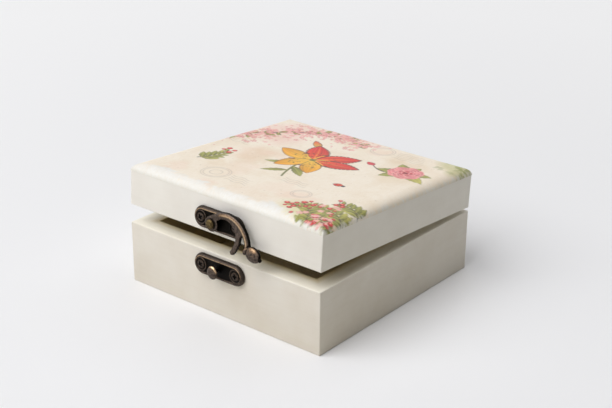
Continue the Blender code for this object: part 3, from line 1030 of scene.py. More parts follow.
class Painter:
    """Paints a design on the paper's points, in millimetres over the unfolded sheet."""

    soft_edge: float = 0.3
    margin: float = 0.6

    def __init__(self, x: Array, y: Array, ground: Colour, seed: int = 7) -> None:
        """Prime the sheet.

        Args:
            x: Place of each point from left to right.
            y: Place of each point from the latch side to the hinges.
            ground: The bare paper's colour.
            seed: Seed of every random choice.
        """
        self.x = x
        self.y = y
        self.colour = np.tile(np.array(ground, float), (len(x), 1))
        self.dice = np.random.default_rng(seed)

    def _near(self, middle: Point, reach: float, origin: Point | None = None) -> tuple[Array, Array, Array]:
        """Find the points within a square.

        Args:
            middle: The square's middle.
            reach: Half its side.
            origin: Where offsets are taken from, or none for the middle.

        Returns:
            Indices of the points, and their offsets along X and Y.
        """
        inside = (np.abs(self.x - middle[0]) < reach) & (np.abs(self.y - middle[1]) < reach)
        index = np.nonzero(inside)[0]
        start_x, start_y = origin or middle
        return index, self.x[index] - start_x, self.y[index] - start_y

    def _lay(self, index: Array, cover: Array, colour: Array | Colour) -> None:
        """Lay colour on some points, each by its own cover from 0 to 1."""
        self.colour[index] += (np.asarray(colour) - self.colour[index]) * np.clip(cover, 0, 1)[:, None]

    def _mark(
        self, index: Array, depth: Array, colour: Array | Colour, cover: float, soft: float = soft_edge
    ) -> None:
        """Lay a mark on some points, where depth says how far each lies inside the mark's soft edge."""
        self._lay(index, cover * np.clip(depth / soft + 0.5, 0, 1), colour)

    def wash(self, at: Point, radius: Point, colour: Colour, strength: float, ragged: float = 0.35) -> None:
        """Lay a soft watery patch.

        Args:
            at: Its middle.
            radius: Its half sizes along X and Y.
            colour: Its colour.
            strength: Its cover in the middle.
            ragged: How uneven its edge is.
        """
        index, dx, dy = self._near(at, 1.6 * max(radius))
        dx, dy = dx / radius[0], dy / radius[1]
        angle = np.arctan2(dy, dx)
        edge = np.ones_like(angle)
        for wave in range(2, 8):
            edge += ragged / wave * np.sin(wave * angle + self.dice.uniform(0, 2 * pi))
        inside = 1 - np.hypot(dx, dy) / edge
        self._lay(index, strength * np.clip(inside * 2.2, 0, 1), colour)

    def petal(self, root: Point, angle: float, form: Petal) -> None:
        """Paint a petal or a leaf.

        Args:
            root: Where it grows from.
            angle: Its direction, in degrees.
            form: Its shape and colours.
        """
        turn, length = radians(angle), form.length
        middle = spot_from(root, angle, length / 2)
        index, dx, dy = self._near(middle, length * 0.8 + abs(form.bow), root)
        along = (dx * cos(turn) + dy * sin(turn)) / length
        share = np.clip(along, 0, 1)
        across = -dx * sin(turn) + dy * cos(turn) - form.bow * share**2
        half = form.width / 2 * np.sin(pi * share**form.blunt) ** 0.8
        half = half * (1 + form.teeth * np.sin(share * length * 2.4))
        inside = np.minimum(half - np.abs(across), np.minimum(along, 1 - along) * length * 1.5)
        spread = across / np.maximum(half, 0.4)
        blend = np.clip(share * 1.15, 0, 1)[:, None]
        colour = np.asarray(form.base) * (1 - blend) + np.asarray(form.tip) * blend
        wave = self.dice.uniform(0, 2 * pi, 3)
        streaks = np.sin(8 * spread + wave[0] + share) + np.sin(15 * spread + wave[1])
        streaks += np.sin(27 * spread + wave[2])
        colour = colour * (1 - form.veins * np.clip(streaks / 3 + 0.25, 0, 1) + 0.16 * spread)[:, None]
        if form.rib:
            rib = np.clip(1 - np.abs(across) / 0.42, 0, 1) * np.clip(1.1 - share, 0, 1)
            colour = colour + (np.asarray(form.rib) - colour) * (0.75 * rib)[:, None]
        if form.rim:
            edge = np.clip(1.3 - inside / form.rim_width, 0, 1)[:, None] * form.rim_cover
            colour = colour * (1 - edge) + np.asarray(form.rim) * edge
        self._lay(index, np.clip(inside / 0.35 + 0.3, 0, 1), np.clip(colour, 0, 1))

    def swipe(self, at: Point, angle: float, length: float, width: float, colour: Colour, cover: float) -> None:
        """Drag a nearly dry brush.

        Args:
            at: Where the stroke starts, and is thickest.
            angle: Its direction, in degrees.
            length: Its length.
            width: Its width.
            colour: Its colour.
            cover: How opaque its start is.
        """
        turn = radians(angle)
        index, dx, dy = self._near(spot_from(at, angle, length / 2), length / 2 + width, at)
        share = (dx * cos(turn) + dy * sin(turn)) / length
        across = (-dx * sin(turn) + dy * cos(turn)) / (width / 2)
        wave = self.dice.uniform(0, 2 * pi, 2)
        bristles = 0.75 + 0.25 * np.sin(7 * across + wave[0]) * np.sin(3 * across + wave[1])
        fade = np.clip(1 - share, 0, 1) ** 0.8 * np.clip(share * 6 + 1, 0, 1)
        self._lay(index, cover * fade * bristles * np.clip((1 - np.abs(across)) * 3, 0, 1), colour)

    def line(self, points: Sequence[Point], width: Point, colour: Colour, cover: float = 1.0) -> None:
        """Draw a line that tapers.

        Args:
            points: The places that it passes.
            width: Its width at the start and at the end.
            colour: Its colour.
            cover: How opaque it is.
        """
        total = len(points) - 1
        for count, (start, end) in enumerate(zip(points, points[1:])):
            wide = width[0] + (width[1] - width[0]) * count / total
            self._segment(start, end, wide, colour, cover)

    def _segment(self, start: Point, end: Point, width: float, colour: Colour, cover: float) -> None:
        """Draw one straight stroke.

        Args:
            start: Where it starts.
            end: Where it ends.
            width: Its width.
            colour: Its colour.
            cover: How opaque it is.
        """
        middle = ((start[0] + end[0]) / 2, (start[1] + end[1]) / 2)
        length = max(hypot(end[0] - start[0], end[1] - start[1]), 1e-6)
        index, dx, dy = self._near(middle, length / 2 + width + self.margin, start)
        ux, uy = (end[0] - start[0]) / length, (end[1] - start[1]) / length
        along = np.clip(dx * ux + dy * uy, 0, length)
        self._mark(index, width / 2 - np.hypot(dx - along * ux, dy - along * uy), colour, cover)

    def dot(self, at: Point, radius: float, colour: Colour, cover: float = 1.0) -> None:
        """Paint a round dot."""
        index, dx, dy = self._near(at, radius + self.margin)
        self._mark(index, radius - np.hypot(dx, dy), colour, cover)

    def ring(self, at: Point, radius: float, width: float, colour: Colour, cover: float) -> None:
        """Paint a thin ring."""
        index, dx, dy = self._near(at, radius + width + self.margin)
        self._mark(index, width / 2 - np.abs(np.hypot(dx, dy) - radius), colour, cover)

    def blossom(self, at: Point, radius: float, colour: Colour, heart: Colour, turn: float) -> None:
        """Paint a small flower with five petals.

        Args:
            at: Its middle.
            radius: Its radius.
            colour: Its petals' colour at their tips.
            heart: Colour of the dot in its middle.
            turn: How far its petals are turned.
        """
        index, dx, dy = self._near(at, radius + self.margin)
        away = np.hypot(dx, dy)
        edge = radius * (0.78 + 0.22 * np.cos(5 * (np.arctan2(dy, dx) + turn)))
        pale = np.clip(1 - away / radius, 0, 1)[:, None] * 0.75
        tone = np.asarray(colour) * (1 - pale) + np.asarray((0.93, 0.86, 0.80)) * pale
        self._mark(index, edge - away, tone, 0.92, 0.4)
        self.dot(at, radius * 0.2, heart, 0.8)


@dataclass(frozen=True)
class FlowerPrint:
    """The printed design: a lily, a blossom branch, leafy sprigs with berries and a rose on old paper."""

    ground: Colour = ink(247, 237, 222)
    red: Colour = ink(214, 38, 44)
    scarlet: Colour = ink(236, 92, 50)
    crimson: Colour = ink(190, 30, 46)
    gold: Colour = ink(235, 162, 34)
    yellow: Colour = ink(247, 204, 84)
    black: Colour = ink(44, 24, 26)
    brown: Colour = ink(96, 48, 28)
    pink: Colour = ink(232, 142, 148)
    rose: Colour = ink(206, 84, 100)
    blush: Colour = ink(250, 196, 190)
    olive: Colour = ink(108, 112, 52)
    leaf: Colour = ink(164, 166, 84)
    lime: Colour = ink(206, 200, 104)
    stem: Colour = ink(76, 62, 42)
    grey: Colour = ink(160, 150, 142)
    tea: Colour = ink(226, 202, 168)
    peach: Colour = ink(240, 204, 184)
    speck: Colour = ink(146, 112, 80)
    cream: Colour = ink(250, 226, 196)
    white: Colour = ink(242, 241, 238)
    berry_shade: Colour = ink(150, 30, 34)
    berry_glint: Colour = ink(250, 190, 170)
    bud_rim: Colour = ink(140, 24, 36)
    rose_heart: Colour = ink(128, 18, 32)
    anther: Colour = ink(96, 40, 24)
    moss: Colour = ink(140, 146, 72)
    branch_haze: tuple[Patch, ...] = (
        ((-42, 34), (22, 21), ink(240, 192, 186), 0.42),
        ((-8, 52), (20, 9), ink(240, 196, 188), 0.35),
    )
    corner_haze: tuple[Patch, ...] = (
        ((48, -48), (20, 17), ink(214, 212, 146), 0.55),
        ((58, -58), (12, 11), ink(232, 180, 168), 0.4),
        ((57, 53), (12, 12), ink(176, 180, 104), 0.55),
    )
    half_sheet: float = 63.0
    lily_blunt: float = 1.05

    def paint(self, x: Array, y: Array) -> Array:
        """Paint the whole sheet.

        Args:
            x: Place of each point from left to right, in millimetres.
            y: Place of each point from the latch side to the hinges, in millimetres.

        Returns:
            A colour for each point.
        """
        brush = Painter(x, y, self.ground)
        self._old_paper(brush)
        self._branch(brush)
        self._corner_sprigs(brush)
        self._rose(brush, (42, 27))
        self._lily(brush, (-2, 9))
        self._sprig(brush, (-44, -30), 62, 20)
        self._ladybird(brush, (30, -12))
        self._painted_edge(brush)
        return brush.colour

    def _leaf(self, dice: np.random.Generator, length: float, slim: float = 0.46) -> Petal:
        """Draw a leaf's form by lot.

        Args:
            dice: The source of chance.
            length: Its usual length.
            slim: Its width as a share of that.

        Returns:
            The leaf.
        """
        light = self.lime if dice.random() < 0.35 else self.leaf
        bow = dice.uniform(-0.14, 0.14) * length
        size = (length * dice.uniform(0.85, 1.1), length * slim)
        colours = (self.olive, light, self.stem, self.lime)
        return Petal(*size, *colours, 0.85, bow, 0.28, teeth=0.06, rim_width=0.4, rim_cover=0.7)

    def _old_paper(self, brush: Painter) -> None:
        """Paint tea stains, faint rings, wavy lines and specks.

        Args:
            brush: The sheet's painter.
        """
        dice = brush.dice
        for _ in range(34):
            at = tuple(dice.uniform(-56, 56, 2))
            tone = self.tea if dice.random() < 0.7 else self.peach
            brush.wash(at, tuple(dice.uniform(5, 15, 2)), tone, dice.uniform(0.08, 0.28))
        for at, radii in (((-22, -40), (7.5, 6.3, 3.2)), ((14, 47), (6.5, 5.2)), ((26, -34), (5.0, 3.9))):
            for radius in radii:
                brush.ring(at, radius, 0.5, self.grey, 0.4)
        for at, rows, run in (((-13, -44), 4, 15), ((22, 43), 5, 20), ((-56, 4), 4, 16), ((6, -26), 3, 17)):
            for row in range(rows):
                wave = [(at[0] + k, at[1] + 2.2 * row + 0.6 * sin(k * 0.8 + row)) for k in range(run - row)]
                brush.line(wave, (0.45, 0.4), self.grey, 0.3)
        for _ in range(220):
            brush.dot(tuple(dice.uniform(-62, 62, 2)), dice.uniform(0.1, 0.32), self.speck, 0.45)

    def _branch(self, brush: Painter) -> None:
        """Paint an arching branch of pink blossom over the back left corner.

        Args:
            brush: The sheet's painter.
        """
        dice = brush.dice
        path = [(-63 + 4.7 * k, 6 + 45 * sin(k * pi / 20)) for k in range(14)]
        for patch in self.branch_haze:
            brush.wash(*patch)
        brush.line(path, (1.3, 0.6), self.stem)
        for at in path[1:]:
            for side in (-1, 1):
                twig = 30 + side * dice.uniform(35, 70)
                brush.line([at, spot_from(at, twig, 5)], (0.6, 0.4), self.stem)
                brush.petal(at, twig + dice.uniform(-20, 20), self._leaf(dice, dice.uniform(5, 8.5)))
        for spread, count, cover in ((7.5, 150, 0.55), (4.6, 190, 0.95)):
            for _ in range(count):
                spot = self._scattered(dice, path, spread, spread * 0.85)
                tone = self.pink if dice.random() < 0.62 else self.rose
                size = dice.uniform(0.8, 2.3) * (0.6 + 0.4 * cover)
                brush.blossom(spot, size, tone, self.gold, dice.uniform(0, 6))
        for _ in range(160):
            brush.dot(self._scattered(dice, path, 8.5, 7.5), dice.uniform(0.25, 0.6), self.rose, 0.7)

    @staticmethod
    def _scattered(dice: np.random.Generator, path: Sequence[Point], wide: float, deep: float) -> Point:
        """Draw a spot near a path by lot, spread so wide along X and so deep along Y."""
        at = path[int(dice.integers(0, len(path)))]
        return at[0] + dice.normal(0, wide), at[1] + dice.normal(0, deep)

    def _sprig(self, brush: Painter, root: Point, angle: float, length: int, curl: float = 0.9) -> None:
        """Paint a curved stalk with paired leaves, and berries at its end.

        Args:
            brush: The sheet's painter.
            root: Where it grows from.
            angle: Its first direction, in degrees.
            length: Its length.
            curl: How many degrees it turns with each millimetre.
        """
        dice = brush.dice
        spine = [spot_from(root, angle + curl * t, t) for t in range(length)]
        brush.line(spine, (0.9, 0.45), self.stem)
        for k in range(2, length - 1, 3):
            reach = 9.5 - 5.0 * k / length
            for side in (-1, 1):
                brush.petal(spine[k], angle + curl * k + side * dice.uniform(38, 60), self._leaf(dice, reach))
        for _ in range(5):
            turn, away = dice.uniform(0, 2 * pi), dice.uniform(1.5, 4.5)
            end = (spine[-1][0] + away * cos(turn), spine[-1][1] + away * sin(turn))
            brush.line([spine[-1], end], (0.4, 0.4), self.stem)
            self._berry(brush, end, dice.uniform(0.8, 1.4))

    def _berry(self, brush: Painter, at: Point, size: float) -> None:
        """Paint a red berry with a glint.

        Args:
            brush: The sheet's painter.
            at: Its middle.
            size: Its radius.
        """
        brush.dot(at, size + 0.15, self.berry_shade)
        brush.dot((at[0] - 0.1 * size, at[1] + 0.1 * size), size * 0.82, self.red)
        brush.dot((at[0] - size * 0.3, at[1] + size * 0.35), size * 0.3, self.berry_glint)

    def _corner_sprigs(self, brush: Painter) -> None:
        """Paint leafy sprigs with berries and buds over the near right corner.

        Args:
            brush: The sheet's painter.
        """
        dice = brush.dice
        for patch in self.corner_haze:
            brush.wash(*patch)
        for _ in range(26):
            spot = (dice.normal(58, 4.5), dice.normal(54, 4.5))
            size = tuple(dice.uniform(1.2, 3.4, 2))
            brush.wash(spot, size, self.moss, dice.uniform(0.25, 0.6), 0.7)
        sprigs = (((62, -63), 122, 34), ((64, -50), 138, 28), ((50, -63), 104, 26), ((62, -36), 150, 17))
        for root, angle, length in sprigs:
            self._sprig(brush, root, angle, length)
        for _ in range(46):
            away = dice.uniform(4, 30)
            at = spot_from((61, -61), dice.uniform(108, 168), away)
            if dice.random() < 0.45:
                self._berry(brush, at, dice.uniform(0.7, 1.3))
            else:
                brush.blossom(at, dice.uniform(1.1, 2.2), self.pink, self.gold, dice.uniform(0, 6))

    def _rose(self, brush: Painter, at: Point) -> None:
        """Paint an open rose with leaves and a bud.

        Args:
            brush: The sheet's painter.
            at: Its middle.
        """
        dice = brush.dice
        for turn, reach in ((-158, 15), (-120, 14), (-34, 15), (14, 13), (88, 13), (138, 15)):
            brush.petal(at, turn, self._leaf(dice, reach, 0.5))
        twig = [(at[0] - 9 - k, at[1] - 6 + 0.05 * k * k) for k in range(10)]
        brush.line(twig, (0.9, 0.6), self.stem)
        brush.petal(twig[-1], 150, Petal(6, 4.2, self.rose, self.red, self.bud_rim, blunt=0.8, bow=0.5))
        for radius, count in ((10.5, 8), (8.6, 7), (6.6, 6), (4.6, 5), (2.9, 4)):
            for k in range(count):
                turn = 360 * k / count + radius * 23 + dice.uniform(-8, 8)
                inner = self.red if dice.random() < 0.5 else self.crimson
                outer = self.pink if radius > 6 else self.rose
                bow = dice.uniform(-1, 1)
                form = Petal(radius, radius * 0.98, inner, outer, self.blush, blunt=1.5, bow=bow)
                brush.petal(spot_from(at, turn, -0.1 * radius), turn, form)
        brush.dot(at, 1.2, self.rose_heart)

    def _lily(self, brush: Painter, at: Point) -> None:
        """Paint the large lily, golden towards the latch and red towards the hinges, with dark edges.

        Args:
            brush: The sheet's painter.
            at: Its middle.
        """
        dice, blunt = brush.dice, self.lily_blunt
        stalk = [(at[0] - 2 + 7 * (k / 30) ** 2, at[1] - k) for k in range(31)]
        brush.line(stalk, (1.4, 1.0), self.olive)
        for k, turn, reach in ((10, 206, 16), (15, -30, 17), (21, 214, 13)):
            brush.petal(stalk[k], turn, self._leaf(dice, reach, 0.32))
        bud = Petal(13, 5, self.lime, self.scarlet, self.stem, blunt=0.9, bow=1.5)
        brush.petal((at[0] - 10, at[1] + 17), 128, bud)
        for turn, length, width, bow in ((176, 24, 11.5, -3), (236, 21, 11, 2), (306, 21, 11, -2)):
            colours = (self.yellow, self.gold, self.brown, self.yellow)
            brush.petal(at, turn, Petal(length, width, *colours, blunt, bow, 0.24))
        for turn, length, width, bow in ((112, 24, 13, 3), (52, 25, 12.5, -3), (4, 26, 11.5, 3)):
            colours = (self.scarlet, self.red, self.black, self.yellow)
            brush.petal(at, turn, Petal(length, width, *colours, blunt, bow, 0.3, teeth=0.03, rim_width=1.25))
            for side in (-1, 1):
                for share in (0.52 + 0.07 * k for k in range(6)):
                    out = side * (width / 2 * sin(pi * share**blunt) ** 0.8 - 0.55) + bow * share**2
                    brush.dot(spot_from(at, turn, length * share, out), 0.3, self.cream, 0.9)
        for turn, bow in ((112, 3), (52, -3), (4, 3), (176, -3), (236, 2), (306, -2)):
            for _ in range(15):
                away, side = dice.uniform(4, 13), dice.uniform(-2.4, 2.4)
                freckle = spot_from(at, turn, away, side + bow * (away / 24) ** 2)
                brush.dot(freckle, dice.uniform(0.2, 0.42), self.black, 0.8)
        for turn in (84, 140, 205, 268, 334, 28):
            tip = spot_from(at, turn, 10.5, 1.0)
            brush.line([at, spot_from(at, turn, 5.5, 1.2), tip], (0.7, 0.5), self.yellow)
            brush.line([(tip[0] - 1, tip[1] - 0.6), (tip[0] + 1, tip[1] + 0.6)], (1.2, 1.0), self.anther)
        brush.dot(at, 1.6, self.olive)

    def _ladybird(self, brush: Painter, at: Point) -> None:
        """Paint a small red beetle with black spots.

        Args:
            brush: The sheet's painter.
            at: Its middle.
        """
        colours = (self.red, self.scarlet, self.black, self.black)
        brush.petal((at[0] - 2.8, at[1]), 12, Petal(5.8, 4.2, *colours, blunt=1.0, veins=0.0, rim_width=0.5))
        brush.dot((at[0] + 2.9, at[1] + 0.7), 1.1, self.black)
        for spot in ((-1.2, 0.9), (0.6, 1.2), (-0.6, -1.0), (1.3, -0.6)):
            brush.dot((at[0] + spot[0], at[1] + spot[1]), 0.45, self.black)

    def _painted_edge(self, brush: Painter) -> None:
        """Drag white paint over the paper's edges, most of it along the latch side.

        Args:
            brush: The sheet's painter.
        """
        dice, rim = brush.dice, self.half_sheet
        for _ in range(34):
            spot = (dice.uniform(-rim, 34), dice.uniform(2, 8.5) - rim)
            size = (dice.uniform(4, 11), dice.uniform(1.8, 4.2))
            brush.wash(spot, size, self.white, dice.uniform(0.4, 0.85), 0.6)
        sides = ((-90, 620, 3.0, 9.5), (180, 260, 2.0, 6.5), (0, 230, 1.2, 4.0), (90, 150, 1.5, 4.5))
        for side, count, low, high in sides:
            for _ in range(count):
                along = dice.uniform(-rim, rim)
                start = spot_from((0, 0), side, rim - dice.uniform(0, 1.5), along)
                reach = dice.uniform(low, high) * (0.55 if side == -90 and along > 38 else 1.0)
                angle = side + 180 + dice.uniform(-38, 38)
                brush.swipe(start, angle, reach, dice.uniform(0.7, 2.0), self.white, 0.75)


@dataclass
class PaperedTop:
    """The lid's rounded top board with the printed paper over it."""

    finishes: Finishes
    layout: Layout = LAYOUT
    flat_cells: int = 276
    curve_cells: int = 14
    paper_lap: float = 0.00012
    overhang: float = 0.00004
    sharp: float = radians(50)

    def build(self) -> None:
        """Make the papered top, paint its design and hand it over."""
        cells = self.flat_cells + 2 * self.curve_cells
        mesh = bpy.data.meshes.new("lid_papered_top")
        with edited(mesh) as bm:
            bmesh.ops.create_grid(bm, x_segments=cells, y_segments=cells, size=0.5)
        column, row = self._shape(mesh, cells)
        unfolded = self._unfolded()
        colours = FlowerPrint().paint(unfolded[column], unfolded[row])
        opaque = np.column_stack((colours, np.ones(len(colours)))).astype(np.float32)
        layer = mesh.color_attributes.new("print", "FLOAT_COLOR", "POINT")
        layer.data.foreach_set("color", opaque.ravel())
        self._close(mesh)
        mesh.transform(self.layout.tilt)
        mesh.shade_smooth()
        mesh.set_sharp_from_angle(angle=self.sharp)
        top = link(mesh.name, mesh)
        Workshop.hand_over(top, self.finishes.paper, Body.LID, Slot.PAPER, ["lid_paper"])

    def _lines(self) -> tuple[Array, Array]:
        """Place the grid lines over the board.

        Returns:
            Place across the top of each grid line, and its height over the rounded edge's foot.
        """
        layout = self.layout
        half = layout.width / 2 + self.overhang
        angles = np.linspace(0, pi / 2, self.curve_cells + 1)
        edge = half - layout.round_inward * (1 - np.cos(angles))
        rise = layout.round_drop * np.sin(angles)
        flat = np.linspace(-edge[-1], edge[-1], self.flat_cells + 1)[1:-1]
        place = np.concatenate((-edge, flat, edge[::-1]))
        height = np.concatenate((rise, np.full(len(flat), layout.round_drop), rise[::-1]))
        return place, height

    def _unfolded(self) -> Array:
        """Lay the paper flat.

        Returns:
            Place of each grid line on it, in millimetres.
        """
        place, height = self._lines()
        steps = np.hypot(np.diff(place), np.diff(height))
        run = np.concatenate(((0.0,), np.cumsum(steps)))
        return (run - run[-1] / 2) / MM

    def _shape(self, mesh: Mesh, cells: int) -> tuple[Array, Array]:
        """Bend the flat grid over the board.

        Args:
            mesh: The grid, from -0.5 to 0.5 both ways.
            cells: Its cells along a side.

        Returns:
            The grid line that each point lies on, across and along.
        """
        spots = vectors(mesh, "co")
        column = np.rint((spots[:, 0] + 0.5) * cells).astype(int)
        row = np.rint((spots[:, 1] + 0.5) * cells).astype(int)
        place, height = self._lines()
        foot = self.layout.lid_top - self.layout.round_drop
        lower = np.minimum(height[column], height[row])
        bent = np.column_stack((place[column], place[row], foot + lower)).astype(np.float32)
        mesh.vertices.foreach_set("co", bent.ravel())
        return column, row

    def _close(self, mesh: Mesh) -> None:
        """Lap the paper's edge over the wall and close the underside.

        Args:
            mesh: The bent grid.
        """
        with edited(mesh) as bm:
            rim = [edge for edge in bm.edges if edge.is_boundary]
            lapped = bmesh.ops.extrude_edge_only(bm, edges=rim)["geom"]
            bmesh.ops.translate(bm, vec=(0, 0, -self.paper_lap), verts=of_kind(lapped, BMVert))
            bmesh.ops.contextual_create(bm, geom=of_kind(lapped, BMEdge))
            bmesh.ops.recalc_face_normals(bm, faces=bm.faces)


# Latch


@dataclass(frozen=True)
class LatchSizes:
    """Sizes and places of the latch, which repeat the solids'."""

    offset: float = 0.0003
    hook_plate_z: float = 0.0410
    catch_plate_z: float = 0.0251
    seat: float = 0.0003
    length: float = 0.0310
    width: float = 0.0108
    screw_u: float = 0.0109
    lobe_top: float = 0.002375
    screw_sink: float = 0.0001
    pivot_x: float = -0.0017
    pivot_z: float = 0.0405


LATCH = LatchSizes()


@dataclass(frozen=True)
class ScrewMaker:
    """Countersunk screws with a cross recess."""

    head: float
    shank: float
    length: float
    dome: float
    weld: float = 2e-6
    sharp: float = 30.0

    def piece(self, name: str, turn: float, place: Matrix) -> Object:
        """Make a screw.

        Args:
            name: Its name.
            turn: How far its cross is turned.
            place: Where it goes: local Z points out of its head, from the plane of its seat.

        Returns:
            The screw, in its place.
        """
        bm = bmesh.new()
        Workshop.turned(bm, self._profile(), 40)
        screw = Workshop.piece(name, bm, None, self.sharp)
        Workshop.carve(screw, [self._bar(turn + quarter) for quarter in (0.0, pi / 2)])
        with edited(screw.data) as bm:
            bmesh.ops.remove_doubles(bm, verts=bm.verts, dist=self.weld)
            bmesh.ops.dissolve_degenerate(bm, edges=bm.edges, dist=self.weld)
            bmesh.ops.triangulate(bm, faces=bm.faces)
        screw.data.set_sharp_from_angle(angle=radians(self.sharp))
        Workshop.paint_wear_and_light(screw, self._wear_and_light, 0)
        screw.data.transform(place)
        return screw

    def _profile(self) -> list[Point]:
        """Draw half of the screw's outline, from its tip to its crown.

        Returns:
            The (radius, height) points.
        """
        head, shank, tip = self.head, self.shank, -self.length
        profile = [(0.0, tip), (shank * 0.35, tip), (shank, tip + shank * 1.5), (shank, -head * 0.5)]
        profile += [(head * 0.94, -head * 0.12), (head, -head * 0.05), (head * 0.97, self.dome * 0.25)]
        profile += [(head * share, self.dome * (1 - share**2)) for share in (0.85, 0.65, 0.4, 0.2)]
        return profile + [(0.0, self.dome)]

    def _bar(self, turn: float) -> Object:
        """Make the cutter of one bar of the cross, narrower below.

        Args:
            turn: How far it is turned.

        Returns:
            The cutter.
        """
        bm = bmesh.new()
        spot = Matrix.Translation((0, 0, self.dome)) @ Matrix.Rotation(turn, 4, "Z")
        block(bm, (self.head * 1.5, self.head * 0.5, self.head * 0.6), spot)
        low = [vert for vert in bm.verts if vert.co.z < self.dome]
        bmesh.ops.scale(bm, vec=(0.8, 0.8, 1.0), verts=low)
        return Workshop.piece("cross", bm)

    def _wear_and_light(self, skin: Skin) -> Shares:
        """Rub the head's rim faintly, and paint the inside of the cross black as painted shade.

        Args:
            skin: The screw's points.

        Returns:
            The bright share, from rubbing, and the dark share, with painted shade in the cross.
        """
        out = np.hypot(skin.places[:, 0], skin.places[:, 1]) / (self.head / MM)
        under = self.dome / MM * (1 - out**2) - skin.height
        # painted shade: the inside of the cross is painted black
        recess = step(under, 0.0, 0.1) * (out < 0.85)
        return 0.3 * step(out, 0.8, 0.95) * (skin.height > -0.1), np.maximum(recess, 0.24)


